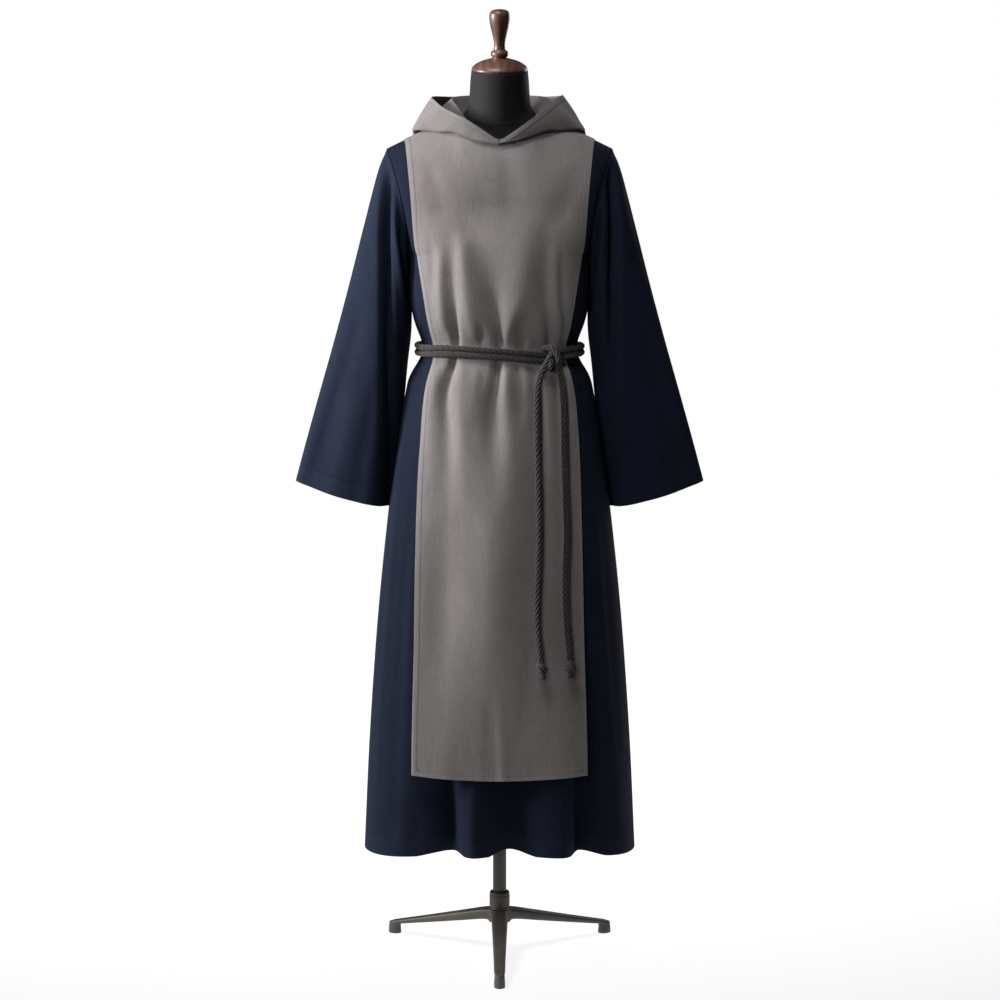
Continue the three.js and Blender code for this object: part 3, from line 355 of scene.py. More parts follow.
def body_point(face, across, level):
    """A point of the body surface, with the bend at the underarm evened out."""
    across, level = np.broadcast_arrays(np.asarray(across, float), np.asarray(level, float))
    p = plain_body_point(face, across, level)
    chest = 2 * (ARMHOLE["z"] - UNDERARM)
    z = np.where(level > 1, height_at(level), UNDERARM + (1 - level) * chest)
    near = ease(1 - np.abs(z - UNDERARM) / UNDERARM_SOFT["reach"])
    near = near * (1 - across ** UNDERARM_SOFT["side_power"])
    spot = near > 0
    if spot.any():
        y = 0.0
        for t, w in SOFT_TAPS:
            at = z[spot] + UNDERARM_SOFT["spread"] * t
            there = np.where(at > UNDERARM, 1 - (at - UNDERARM) / chest, level_at(at))
            y = y + w * plain_body_point(face, across[spot], there)[..., 1]
        p[spot, 1] = mix(p[spot, 1], y, near[spot])
    return p


def body_normal(face, across, level):
    along = body_point(face, np.minimum(1, across + NORMAL_STEP), level)
    along = along - body_point(face, np.maximum(-1, across - NORMAL_STEP), level)
    down = body_point(face, across, np.minimum(2, level + NORMAL_STEP))
    down = down - body_point(face, across, np.maximum(0, level - NORMAL_STEP))
    return unit(np.cross(along, down) * face)


def skirt_folds(face, p):
    round_ = np.degrees(np.arctan2(p[..., 0], face * p[..., 1] * half_at(HEM) / FOLD_ROUND_DEPTH))
    out = np.zeros(round_.shape)
    for at, far, left, right, top in SKIRT_FOLDS[face]:
        away = round_ - at
        width = np.where(away < 0, left, right)
        out = out + far * bell(away / width) * fade(p[..., 2], top, HEM)
    return out


def hang_out(z):
    start, out = SCAPULAR_HANG
    return out * fade(z, start, SCAPULAR_HEM)


# ---------------------------------------------------------------- mesh making
def new_object(name, points, lists, uvs=None):
    """A smooth mesh object from points in mm, facing out; uvs maps a layer name to one (u, v) a point."""
    points = np.asarray(points, float) * MM
    volume = 0.0
    for size in (3, 4):
        block = np.array([row for row in lists if len(row) == size])
        if len(block):
            for k in range(1, size - 1):
                a, b, c = points[block[:, 0]], points[block[:, k]], points[block[:, k + 1]]
                volume += np.sum(a * np.cross(b, c))
    if volume < 0:
        lists = [row[::-1] for row in lists]
    mesh = bpy.data.meshes.new(name)
    mesh.from_pydata(points.tolist(), [], lists)
    corners = np.empty(len(mesh.loops), np.int32)
    mesh.loops.foreach_get("vertex_index", corners)
    for layer, values in (uvs or {}).items():
        uv = mesh.uv_layers.new(name=layer)
        uv.data.foreach_set("uv", np.asarray(values, np.float32)[corners].ravel())
    mesh.polygons.foreach_set("use_smooth", [True] * len(mesh.polygons))
    mesh.update()
    obj = bpy.data.objects.new(name, mesh)
    bpy.context.scene.collection.objects.link(obj)
    return obj


def grid_faces(rows, columns, start, closed=False, flip=False):
    r, c = np.meshgrid(np.arange(rows - 1), np.arange(columns if closed else columns - 1), indexing="ij")
    d = (c + 1) % columns
    quads = np.stack([r * columns + c, (r + 1) * columns + c, (r + 1) * columns + d, r * columns + d], -1)
    quads = quads.reshape(-1, 4) + start
    return quads[:, ::-1] if flip else quads


def fan(ring, tip, flip=False):
    """Triangles from a closed ring of points to one point."""
    ahead = np.roll(ring, -1)
    pair = (ahead, ring) if flip else (ring, ahead)
    return np.stack([*pair, np.full(len(ring), tip)], -1).tolist()


def strip(ring, beyond, flip=False):
    """Quads between two closed rings of points."""
    a, b = np.roll(ring, -1), np.roll(beyond, -1)
    return np.stack([ring, a, b, beyond] if flip else [ring, beyond, b, a], -1)


def arc_lengths(grid):
    """Metres along each row from its first point, and down each column from its top."""
    across = np.zeros(grid.shape[:2])
    across[:, 1:] = np.cumsum(np.linalg.norm(np.diff(grid, axis=1), axis=-1), axis=1)
    down = np.zeros(grid.shape[:2])
    down[1:] = np.cumsum(np.linalg.norm(np.diff(grid, axis=0), axis=-1), axis=0)
    return across * MM, down * MM


def edge_map(across, down, edges):
    """Metres from the nearest of the named edges, and along it. A number names a column."""
    far, along = np.full(across.shape, FAR_AWAY), down.copy()
    for edge in edges:
        if edge in ("high", "low"):
            away = down if edge == "high" else down[-1:] - down
            beside = across
        else:
            place = {"left": 0, "right": -1}.get(edge, edge)
            away = np.abs(across - across[:, place][:, None])
            beside = down
        along = np.where(away < far, beside, along)
        far = np.minimum(far, away)
    return np.stack([far, along], -1).reshape(-1, 2)


def shell(name, outer, inner, closed=False, hems=(), seams=()):
    """A thin closed sheet between two grids of points. Its maps, in metres, are the weave's, and the
    distance from the nearest hem and the nearest seam with the place along it."""
    rows, columns = outer.shape[:2]
    across, down = arc_lengths(outer)
    weave = np.stack([across - across[:, columns // 2][:, None] * (not closed), -down], -1).reshape(-1, 2)
    maps = {"weave": weave, "hem": edge_map(across, down, hems), "seam": edge_map(across, down, seams)}
    points = [outer.reshape(-1, 3), inner.reshape(-1, 3)]
    faces = [grid_faces(rows, columns, 0, closed), grid_faces(rows, columns, rows * columns, closed, True)]
    uvs = {key: [value, value] for key, value in maps.items()}
    total = 2 * rows * columns
    ids = np.arange(rows * columns).reshape(rows, columns)
    if closed:
        loops = [(ids[0], True), (ids[-1], False)]
    else:
        loops = [(np.concatenate([ids[0], ids[1:, -1], ids[-1, -2::-1], ids[-2:0:-1, 0]]), True)]
    for ring, flip in loops:
        middle = total + np.arange(len(ring))
        faces += [strip(ring, middle, flip), strip(middle, ring + rows * columns, flip)]
        points.append((points[0][ring] + points[1][ring]) / 2)
        for key in maps:
            uvs[key].append(maps[key][ring])
        total += len(ring)
    lists = np.concatenate(faces).tolist()
    return new_object(name, np.concatenate(points), lists, {k: np.concatenate(v) for k, v in uvs.items()})


def cut_of(grid, above=0.0):
    """The flat size and area of a panel's cloth in metres. The width leaves out a share of rows above."""
    across, down = arc_lengths(grid)
    width = np.max(across[int(above * len(across)):, -1])
    length = np.max(down[-1])
    a, b = grid[1:, :-1] - grid[:-1, :-1], grid[:-1, 1:] - grid[:-1, :-1]
    area = np.sum(np.linalg.norm(np.cross(a, b), axis=-1)) * MM * MM
    return (float(width), float(length)), float(min(area, width * length))


def distance_along(points):
    """How far along a route each of its points lies."""
    return np.concatenate([[0], np.cumsum(np.linalg.norm(np.diff(points, axis=0), axis=1))])


def even_steps(points, step, closed=False):
    """Points at even steps along a route; on a closed one the last step leads back to the first point."""
    s = distance_along(points)
    count = round(s[-1] / step)
    at = np.linspace(0, s[-1], count if closed else max(2, count + 1), endpoint=not closed)
    return np.stack([np.interp(at, s, points[:, k]) for k in range(3)], -1)


# Points of the fine curve between two given ones.
ROUTE_FINENESS = 24


def smooth_route(points, step):
    """Points at even steps on a centripetal curve through the given ones, in mm."""
    p = np.asarray(points, float)
    p = np.concatenate([[2 * p[0] - p[1]], p, [2 * p[-1] - p[-2]]])
    fine = []
    for a, b, c, d in zip(p, p[1:], p[2:], p[3:]):
        t0, t1, t2, t3 = np.cumsum([0, *(np.linalg.norm(v) ** 0.5 for v in (b - a, c - b, d - c))])
        t = np.linspace(t1, t2, ROUTE_FINENESS, endpoint=False)[:, None]

        def blend(start, end, at_start, at_end):
            span = at_end - at_start
            return (at_end - t) / span * start + (t - at_start) / span * end

        ab, bc, cd = blend(a, b, t0, t1), blend(b, c, t1, t2), blend(c, d, t2, t3)
        fine.append(blend(blend(ab, bc, t0, t2), blend(bc, cd, t1, t3), t1, t2))
    return even_steps(np.concatenate([*fine, p[-2:-1]]), step)


# ---------------------------------------------------------------- ropes
STRANDS = 5
LAY = 52.0  # one full turn of the rope's strands, in mm
STRAND_TURN = 360 / STRANDS
STRAND_ANGLES = np.radians(STRAND_TURN * np.array([-0.5, -0.42, -0.3, -0.15, 0, 0.15, 0.3, 0.42]))


# How much thicker a strand is than one that only just touches its neighbours, and how deep the valleys go.
STRAND_SWELL = 1.04
VALLEY_FLOOR = 0.66
# A direction that no rope starts along.
ASIDE = [0.3, 0.5, 0.8]
# The same for a loose fibre, and how far out the corners of its three-sided section lie.
FIBRE_ASIDE = [0.2, 1, 0.1]
FIBRE_CORNER = 0.87


def rope_section(radius):
    """The outline of strands lying together, as angle and radius."""
    half = math.sin(math.pi / STRANDS)
    strand = radius * half / (1 + half)
    reach = radius - strand
    strand *= STRAND_SWELL
    cut = np.maximum(strand**2 - (reach * np.sin(STRAND_ANGLES)) ** 2, 0)
    one = np.maximum(reach * np.cos(STRAND_ANGLES) + np.sqrt(cut), radius * VALLEY_FLOOR)
    angles = np.concatenate([STRAND_ANGLES + math.radians(STRAND_TURN * k) for k in range(STRANDS)])
    return angles, np.tile(one, STRANDS)


def rope_grid(route, radius, lay, closed):
    """Rings of a twisted rope along a route in mm, and its map: from a strand's crest, and metres along."""
    ahead = np.roll(route, -1, 0) if closed else np.concatenate([route[1:], route[-1:]])
    behind = np.roll(route, 1, 0) if closed else np.concatenate([route[:1], route[:-1]])
    along = unit(ahead - behind)
    s = distance_along(route)
    if closed:
        side = unit(np.cross(along, [0, 0, 1]))
        length = s[-1] + np.linalg.norm(route[0] - route[-1])
        lay = length / (round(STRANDS * length / lay) / STRANDS)
    else:
        side = np.empty_like(along)
        side[0] = unit(np.cross(along[0], ASIDE))
        for i in range(1, len(route)):
            side[i] = unit(side[i - 1] - along[i] * np.dot(side[i - 1], along[i]))
    up = np.cross(side, along)
    angles, radii = rope_section(radius)
    turn = angles - (2 * math.pi * s / lay)[:, None]
    grid = (
        route[:, None, :]
        + side[:, None, :] * (np.cos(turn) * radii)[..., None]
        + up[:, None, :] * (np.sin(turn) * radii)[..., None]
    )
    from_crest = np.tile(np.abs(np.degrees(STRAND_ANGLES)) / (STRAND_TURN / 2), STRANDS)
    return grid, np.stack(np.broadcast_arrays(from_crest, (s * MM)[:, None]), -1)


def ropes(name, routes, lay=None, closed=False, fibres=()):
    """Ropes in one mesh, each a route and a radius, closed on themselves or at their ends. Without a lay
    each is laid in proportion to its radius. A loose fibre is its start, its end and its thickness."""
    points, lists, maps, total = [], [], [], 0
    for route, radius in routes:
        grid, uv = rope_grid(route, radius, lay or LAY * radius / ROPE_RADIUS, closed)
        rows, columns = grid.shape[:2]
        lists += grid_faces(rows, columns, total, True).tolist()
        first, last = total + np.arange(columns), total + (rows - 1) * columns + np.arange(columns)
        points.append(grid.reshape(-1, 3))
        maps.append(uv.reshape(-1, 2))
        total += rows * columns
        if closed:
            # The last ring meets the first one, turned by whole strands.
            ahead = 2 * grid[-1] - grid[-2]
            shifts = range(0, columns, columns // STRANDS)
            misses = [np.linalg.norm(np.roll(grid[0], -k, 0) - ahead) for k in shifts]
            first = np.roll(first, -shifts[int(np.argmin(misses))])
            lists += strip(last, first).tolist()
        else:
            lists += fan(first, total, True) + fan(last, total + 1)
            points.append(grid[[0, -1]].mean(1))
            maps.append(uv[[0, -1], 0])
            total += 2
    for start, end, thick in fibres:
        along = unit(end - start)
        beside = unit(np.cross(along, FIBRE_ASIDE)) * thick
        across = np.cross(along, beside) * FIBRE_CORNER
        ring = np.stack([beside, across - beside / 2, -across - beside / 2])
        points += [start + ring, end[None]]
        maps.append(np.zeros((4, 2)))
        a = total
        lists += [[a, a + 1, a + 3], [a + 1, a + 2, a + 3], [a + 2, a, a + 3], [a + 2, a + 1, a]]
        total += 4
    return new_object(name, np.concatenate(points), lists, {"rope": np.concatenate(maps)})


# ---------------------------------------------------------------- creases placed one by one
# Each crease is a list of points (x, height, depth, width left, width right), or with one width for both
# sides; a trough's depth is negative.
# They lie in the scapular and the tunic under it alike.
CREASE_FADE = 30


def both_widths(points):
    """A crease's rows, each with its width to the left and to the right."""
    return [row if len(row) == 5 else (*row, row[-1]) for row in points]


def creases(table):
    made = []
    for points in table:
        rows = sorted(both_widths(points), key=lambda row: row[1])
        made.append((rows[0][1], rows[-1][1], [column(rows, k, key=1) for k in (0, 2, 3, 4)]))

    def field(x, z):
        out = np.zeros(np.broadcast(x, z).shape)
        for low, high, (at, depth, left, right) in made:
            away = x - at(z)
            width = np.where(away < 0, left(z), right(z))
            inside = ease((z - low) / CREASE_FADE) * ease((high - z) / CREASE_FADE)
            out = out + depth(z) * bell(away / width) * inside
        return out

    return field


FRONT_CREASES = creases([
    # above the belt, from the left: troughs, and the ridges between them
    [(-124, 1345, 0, 10), (-121, 1312, -2.4, 9, 8), (-119, 1280, -2.8, 9, 7), (-122, 1235, -1.6, 10, 8),
     (-122, 1190, 0, 10, 8)],
    [(-104, 1330, 0, 8, 9), (-105, 1285, 2.4, 8), (-105, 1232, 3, 9, 8), (-102, 1180, 2.6, 9, 8),
     (-98, 1146, 0, 8, 7)],
    [(-90, 1372, 0, 20, 18), (-87, 1330, -2.8, 17, 14), (-85, 1290, -5, 14, 11), (-84, 1235, -8, 13, 10),
     (-81, 1185, -10.6, 10, 7.5), (-79, 1150, -10.4, 7, 6), (-78, 1120, -4, 7, 6)],
    [(-66, 1350, 0, 12, 14), (-66, 1300, 3.2, 11, 15), (-60, 1240, 4.4, 12, 18), (-52, 1185, 4, 13, 16),
     (-46, 1160, 2.6, 11, 12), (-46, 1140, 0, 8, 10)],
    [(-52, 1370, 0, 26, 30), (-42, 1334, -2.4, 25, 34), (-22, 1290, -4.6, 25, 36),
     (-15, 1250, -6.6, 21, 24), (-11, 1215, -10.4, 17, 15), (-4, 1180, -10.8, 12, 8.5),
     (1, 1150, -10.4, 7.5, 6), (2, 1120, -4, 7, 6)],
    [(66, 1385, 0, 40, 26), (58, 1335, 2.4, 46, 22), (50, 1289, 4.4, 42, 20), (38, 1240, 5.2, 32, 24),
     (26, 1204, 5.6, 20, 22), (15, 1172, 4, 11, 15), (9, 1152, 2.2, 7, 11), (9, 1140, 0, 7, 10)],
    [(-34, 1200, 0, 7), (-33, 1172, -2.2, 7), (-33, 1150, -2.6, 6), (-34, 1128, 0, 6)],
    [(34, 1212, 0, 9, 8), (37, 1180, -4, 9, 8), (40, 1152, -4.6, 8, 7), (40, 1126, -2, 7)],
    [(84, 1385, 0, 26, 12), (85, 1337, -2.6, 24, 10), (83, 1290, -5.2, 20, 8), (84, 1240, -7.2, 18, 8),
     (90, 1188, -9.8, 13, 7.5), (94, 1152, -10, 9, 6.5), (96, 1120, -4, 8, 7)],
    [(97, 1340, 0, 7, 9), (97, 1290, 2.6, 6, 9), (98, 1232, 2.6, 6, 9), (106, 1185, 2.4, 7, 9),
     (110, 1150, 1.4, 7), (110, 1138, 0, 7)],
    [(112, 1330, 0, 6, 8), (110, 1270, -1.8, 6, 8), (112, 1220, -2, 6, 7), (118, 1165, -2, 6),
     (118, 1126, 0, 6)],
    # the chest
    [(6, 1505, 0, 12, 16), (14, 1455, -1.6, 16, 22), (18, 1410, -1.6, 18, 26), (22, 1350, 0, 20, 26)],
    [(-128, 1490, 0, 14), (-120, 1450, -2.4, 16, 14), (-106, 1400, -2, 20, 18), (-94, 1350, 0, 18, 16)],
    [(142, 1478, 0, 20, 18), (130, 1430, -2.6, 22, 18), (112, 1380, -3.4, 24, 18), (98, 1335, 0, 20, 16)],
    [(-58, 1400, 0, 20, 30), (-54, 1362, -1.6, 22, 34), (-50, 1320, 0, 22, 34)],
    # below the belt
    [(-80, 1142, -4, 6), (-84, 1113, -11, 8, 6.5), (-91, 1086, -11.4, 10, 8), (-98, 1052, -10.4, 11, 10),
     (-95, 1000, -8.4, 15, 14), (-95, 950, -6.4, 18, 16), (-95, 890, -4.4, 22, 20), (-96, 820, -2, 24, 22),
     (-97, 760, 0, 24, 22)],
    [(-62, 1122, 0, 9, 11), (-66, 1098, 3.2, 9, 14), (-68, 1052, 3.6, 10, 18), (-68, 1000, 3.4, 12, 22),
     (-66, 920, 2, 14, 24), (-66, 850, 0, 14, 24)],
    [(-112, 1122, 0, 8), (-115, 1088, 3.4, 8), (-122, 1050, 3, 10, 9), (-126, 990, 1.6, 10, 11),
     (-128, 920, 0, 10, 12)],
    [(1, 1142, -4, 6), (-2, 1112, -11, 8, 6.5), (-7, 1074, -10.8, 10, 8), (-12, 1040, -9.4, 12, 10),
     (-12, 990, -5.4, 17, 16), (-12, 930, -2.8, 20), (-12, 860, -1.2, 24), (-12, 800, 0, 24)],
    [(12, 1122, 0, 8, 12), (11, 1096, 3.6, 8, 12), (12, 1050, 3.2, 10, 16), (16, 985, 2.4, 14, 20),
     (18, 900, 1, 18, 24), (18, 830, 0, 18, 24)],
    [(-40, 1122, 0, 10), (-42, 1094, 2.6, 12, 10), (-46, 1050, 2.4, 14, 12), (-48, 990, 0, 14, 16)],
    [(34, 1126, 0, 6), (33, 1104, -4, 8), (34, 1060, -3, 10), (36, 1000, 0, 12)],
    [(60, 1128, -2, 8, 7), (64, 1102, -5.4, 10, 8), (70, 1050, -6, 14, 10), (74, 985, -5, 18, 12),
     (76, 900, -3.4, 22, 14), (78, 780, -2.4, 24, 16), (80, 660, 0, 24, 16)],
    [(102, 1136, -4, 8), (104, 1100, -7, 10, 8), (107, 1050, -6.6, 12, 9), (110, 980, -5, 14, 11),
     (112, 890, -3.4, 16, 13), (112, 760, -2.4, 18, 15), (112, 640, 0, 18, 15)],
    [(118, 1122, 0, 8), (120, 1095, 2.6, 8), (124, 1040, 2.6, 8, 9), (128, 960, 1.4, 10),
     (130, 860, 0, 10)],
    [(-98, 850, 0, 30, 26), (-98, 780, -5, 32, 28), (-100, 640, -7.4, 34, 28), (-104, 520, -4.6, 34, 28),
     (-106, 420, -2.4, 34, 28), (-106, 340, -1.6, 34, 28)],
    [(-156, 980, 0, 26), (-158, 860, 4.6, 28), (-160, 700, 7, 30), (-162, 560, 5, 30), (-162, 430, 2, 30),
     (-162, 340, 0, 30)],
    [(-8, 1010, 0, 40, 46), (-9, 900, 5.4, 40, 48), (-10, 800, 8.4, 40, 50), (-12, 690, 8.4, 40, 50),
     (-14, 590, 5.4, 40, 50), (-16, 480, 2, 40, 50), (-18, 390, 0, 40, 50)],
    [(60, 700, 0, 14), (56, 560, -1, 16), (48, 470, -1.4, 15, 14), (40, 400, -1.6, 14, 12),
     (36, 340, -1.6, 14, 12)],
    [(-20, 560, 0, 12), (-17, 470, -0.8, 12), (-14, 400, -1.3, 11, 10), (-12, 340, -1.4, 11, 10)],
    [(0, 520, 0, 8, 9), (3, 450, 0.6, 9), (5, 390, 0.9, 9), (6, 340, 0.9, 9)],
    [(-88, 660, 0, 20), (-92, 540, 1.8, 22), (-96, 430, 2.4, 22), (-98, 340, 2.4, 22)],
])
BACK_CREASES = creases([
    [(-104, 1350, 0, 20), (-98, 1290, -3.4, 18, 17), (-92, 1225, -6, 16, 13), (-86, 1172, -8.5, 12, 10),
     (-84, 1146, -8, 9, 8), (-84, 1120, -4, 8, 7)],
    [(-70, 1300, 0, 12, 14), (-68, 1240, 2.6, 12, 14), (-66, 1180, 3, 10, 12), (-66, 1142, 0, 9, 10)],
    [(-24, 1330, 0, 18, 22), (-28, 1270, -3, 17, 19), (-31, 1205, -5.5, 14), (-33, 1150, -7, 9),
     (-33, 1120, -4, 8)],
    [(-2, 1300, 0, 14), (-4, 1240, 2.4, 12, 14), (-6, 1180, 3, 11, 12), (-6, 1142, 0, 10)],
    [(40, 1360, 0, 20, 22), (34, 1300, -3.6, 18), (28, 1230, -6.5, 15), (25, 1172, -8.5, 11),
     (24, 1146, -8.5, 9, 8), (24, 1120, -4, 8)],
    [(48, 1240, 0, 10, 12), (46, 1195, 2.4, 10, 12), (46, 1142, 0, 10)],
    [(96, 1320, 0, 18, 20), (90, 1262, -3.6, 16), (85, 1200, -6.4, 14, 12), (81, 1150, -8, 9, 8),
     (80, 1120, -4, 8)],
    [(104, 1280, 0, 9, 10), (102, 1220, 2.2, 9, 10), (100, 1160, 2, 8, 9), (100, 1142, 0, 8)],
    [(-84, 1140, -4, 8), (-86, 1108, -8.5, 10, 9), (-92, 1060, -7, 14, 12), (-100, 990, -5, 18, 16),
     (-106, 890, -2.6, 22, 20), (-108, 760, 0, 24)],
    [(-66, 1120, 0, 10, 12), (-70, 1080, 3, 12, 16), (-74, 1000, 2.6, 15, 20), (-76, 880, 0, 18, 22)],
    [(-33, 1140, -4, 8), (-31, 1108, -7.5, 9, 10), (-26, 1050, -6.4, 13, 14), (-22, 960, -4.6, 18),
     (-20, 840, -2.4, 22), (-20, 700, 0, 24)],
    [(-2, 1120, 0, 10, 12), (0, 1070, 3, 12, 15), (2, 980, 2.6, 15, 18), (4, 860, 0, 18, 20)],
    [(24, 1140, -4, 8), (22, 1106, -8, 10, 9), (16, 1060, -6, 14, 12), (12, 990, -3.4, 18, 16),
     (10, 900, 0, 20)],
    [(80, 1140, -4, 8), (77, 1106, -8, 10, 9), (70, 1050, -7, 14, 13), (62, 975, -5.4, 18, 17),
     (56, 860, -3, 22), (54, 730, 0, 24)],
    [(104, 1120, 0, 10), (106, 1070, 2.6, 12), (110, 990, 2, 14), (112, 900, 0, 14)],
    [(-60, 640, 0, 16), (-58, 520, -1.8, 17), (-52, 430, -2.8, 16, 15), (-48, 340, -3, 16, 15)],
    [(30, 600, 0, 14), (34, 500, -1.6, 14), (38, 420, -2.6, 13), (40, 340, -3, 13)],
    [(-120, 1470, 0, 20, 18), (-100, 1410, -2, 22, 20), (-84, 1340, 0, 20, 18)],
    [(116, 1460, 0, 18, 20), (98, 1400, -2, 20, 22), (88, 1335, 0, 18, 20)],
])
FACE_CREASES = {FRONT: FRONT_CREASES, BACK: BACK_CREASES}

# Finer creases of the tunic alone, at its sides, its skirt and its hem.
TUNIC_CREASES = {
    FRONT: creases([
        [(-138, 1200, 0, 8), (-137, 1165, -3.4, 8), (-136, 1146, -4, 7), (-136, 1122, 0, 6)],
        [(-150, 1112, 0, 10), (-152, 1080, -3.2, 9, 12), (-160, 1030, -3.4, 10, 14),
         (-168, 950, 0, 12, 14)],
        [(-138, 1128, 0, 6), (-142, 1104, -3.6, 7), (-150, 1050, -3, 9), (-158, 980, 0, 10)],
        [(-172, 980, 0, 8, 6), (-180, 880, 3, 9, 6), (-192, 740, 3.6, 9, 6), (-203, 600, 3.4, 9, 6),
         (-216, 420, 2.6, 10, 8), (-226, 220, 1.6, 12, 10)],
        [(-150, 940, 0, 10), (-160, 820, -2.6, 9), (-172, 640, -4, 10, 9), (-184, 440, -3.6, 12),
         (-194, 203, -3, 13)],
        [(138, 1196, 0, 8), (137, 1166, -3, 8), (136, 1122, 0, 6)],
        [(140, 1128, 0, 7), (146, 1096, -3.6, 7, 8), (156, 1030, -3, 9, 10), (164, 950, 0, 10, 12)],
        [(166, 900, 0, 9), (176, 780, 3, 8), (190, 620, 3.6, 9, 8), (204, 440, 3, 10, 9),
         (216, 230, 2, 12)],
        [(184, 800, 0, 9), (196, 640, -3, 9), (206, 480, -3, 10), (214, 300, 0, 12)],
        [(-90, 430, 0, 14, 6), (-88, 340, -5, 14, 5.5), (-86, 270, -8, 15, 5), (-85, 203, -9, 15, 5)],
        [(-74, 430, 0, 6, 18), (-72, 340, 2.4, 5, 18), (-70, 270, 3.6, 5, 18), (-69, 203, 4, 5, 18)],
        [(128, 430, 0, 18, 6), (130, 340, 4, 18, 5), (132, 270, 6, 18, 5), (133, 203, 6.4, 18, 5)],
        [(140, 430, 0, 6, 16), (142, 340, -5, 5.5, 16), (144, 270, -8, 5, 16), (145, 203, -9, 5, 16)],
        [(-150, 330, 0, 12), (-152, 260, -1.6, 12), (-153, 203, -2.2, 12)],
    ]),
    BACK: creases([
        [(-140, 1190, 0, 8), (-138, 1160, -3.2, 8), (-138, 1122, 0, 7)],
        [(-146, 1128, 0, 8), (-152, 1096, -3.6, 8), (-162, 1020, -3, 10), (-170, 930, 0, 12)],
        [(138, 1200, 0, 8), (138, 1160, -3.2, 8), (138, 1122, 0, 7)],
        [(150, 1128, 0, 8), (154, 1090, -3.6, 8), (164, 1010, -3, 10), (172, 900, 0, 12)],
        [(-176, 900, 0, 9), (-188, 740, 3.2, 10, 8), (-204, 560, 3.6, 10, 8), (-220, 340, 2.4, 12, 10),
         (-228, 210, 1.6, 12)],
        [(172, 880, 0, 9), (184, 720, 3, 8, 10), (200, 540, 3.6, 9, 10), (214, 330, 2.4, 10, 12),
         (222, 210, 1.6, 12)],
        [(-8, 330, 0, 10), (-6, 260, -2, 10), (-4, 203, -2.6, 10)],
        [(120, 340, 0, 9), (122, 270, 1.8, 9), (124, 203, 2.2, 9)],
    ]),
}


def cloth_pull(face, x, z):
    """How far the cloth lies out from the body surface: the bite of the belt and the creases."""
    high = np.abs(z - BELT["z"])
    bite = -BELT["bite"] * bell(high / BELT["bite_half"])
    field = FACE_CREASES[face](x, z)
    # Under the wraps nothing stands proud of the bitten cloth.
    proud = np.maximum(field, 0) * fade(high, *BELT["smooth"])
    return bite + np.minimum(field, 0) + proud


# ---------------------------------------------------------------- cloth panels
WAIST_LOW = 1060
WAIST_STEP = 4.0
SKIRT_STEP = 9
YOKE_ROWS = 52
TUNIC_COLUMNS = 161
SCAPULAR_COLUMNS = 87
# A panel's first and last rows and its outer columns lie this near its border: as levels, in mm down and as
# shares across.
GUARD_LEVELS = (0, 0.002, 0.006)
GUARD_DROPS = (0.7, 2)
GUARD_SHARES = np.array([0.9965, 0.991])
# The heights or places between which each change of the panels comes in.
SEAM_TURN = dict(across=(0.9, 1), level=(1.12, 1))
OWN_CREASES = (1, 0.93)
COVER_MARGIN = dict(across=0.02, height=4, gap=0.2)
FLARE = dict(height=(640, 360), across=(0.3, 1))
BRIDGE = dict(height=(620, 420), rounds=3, passes=80)
PANEL_HEM = dict(height=(430, 340), rise=12, drop=6, half=168)


def fine_columns(end, count):
    """Places across a panel, closer at its two borders."""
    guard = end * GUARD_SHARES
    return np.unique(np.concatenate([np.linspace(-end, end, count), guard, -guard]))


def fine_levels(low_z):
    upper = np.linspace(0, 1, YOKE_ROWS)[:-1]
    waist = np.arange(UNDERARM, WAIST_LOW, -WAIST_STEP)
    skirt = np.linspace(WAIST_LOW, low_z, max(3, round((WAIST_LOW - low_z) / SKIRT_STEP)))
    heights = np.unique(np.concatenate([waist, skirt, low_z + np.array(GUARD_DROPS)]))[::-1]
    return np.concatenate([GUARD_LEVELS, upper[1:], level_at(heights)])


def panel_rows(face, columns, low_z):
    """The body surface under a panel, its normals out, and each point's place across, level and height."""
    across, level = np.broadcast_arrays(columns[None, :], fine_levels(low_z)[:, None])
    p = body_point(face, across, level)
    height = np.where(level >= 1, height_at(level), p[..., 2])
    return p, body_normal(face, across, level), across, level, height


def tunic_grid(face, depth):
    p, out, across, level, height = panel_rows(face, fine_columns(1, TUNIC_COLUMNS), HEM)
    seam = armhole_out(face, np.clip(level, 0, 1) * math.pi, np.sign(across))
    near = fade(np.abs(across), *SEAM_TURN["across"]) * fade(level, *SEAM_TURN["level"])
    out = unit(mix(out, seam, near[..., None]))
    pull = cloth_pull(face, p[..., 0], height)
    folds = skirt_folds(face, p)
    # The side seams stay together, and under the scapular the tunic keeps clear of it.
    extra = folds + TUNIC_CREASES[face](p[..., 0], height) * fade(np.abs(across), *OWN_CREASES)
    covered = np.abs(across) < SCAPULAR_ACROSS + COVER_MARGIN["across"]
    covered &= height > SCAPULAR_HEM - COVER_MARGIN["height"]
    room = hang_out(p[..., 2]) - COVER_MARGIN["gap"]
    # The skirt's folds come out again as they leave the scapular's hem.
    extra = np.where(covered, np.minimum(extra, room), extra)
    p = p + out * (pull + extra - depth)[..., None]
    p[..., 1] += face * SEAM_GAP / 2
    p[..., 2] += np.maximum(-folds, 0) * HOLLOW_LIFT * fade(height, HEM_RISE_FROM, HEM)
    return p


def bridged(outward):
    """Cloth drawn tight over the hollows of a surface, from its distances out."""
    bridge = outward
    for _ in range(BRIDGE["rounds"]):
        even = bridge.copy()
        for _ in range(BRIDGE["passes"]):
            even[:, 1:-1] = (even[:, :-2] + 2 * even[:, 1:-1] + even[:, 2:]) / 4
        bridge = np.maximum(bridge, even)
    return bridge


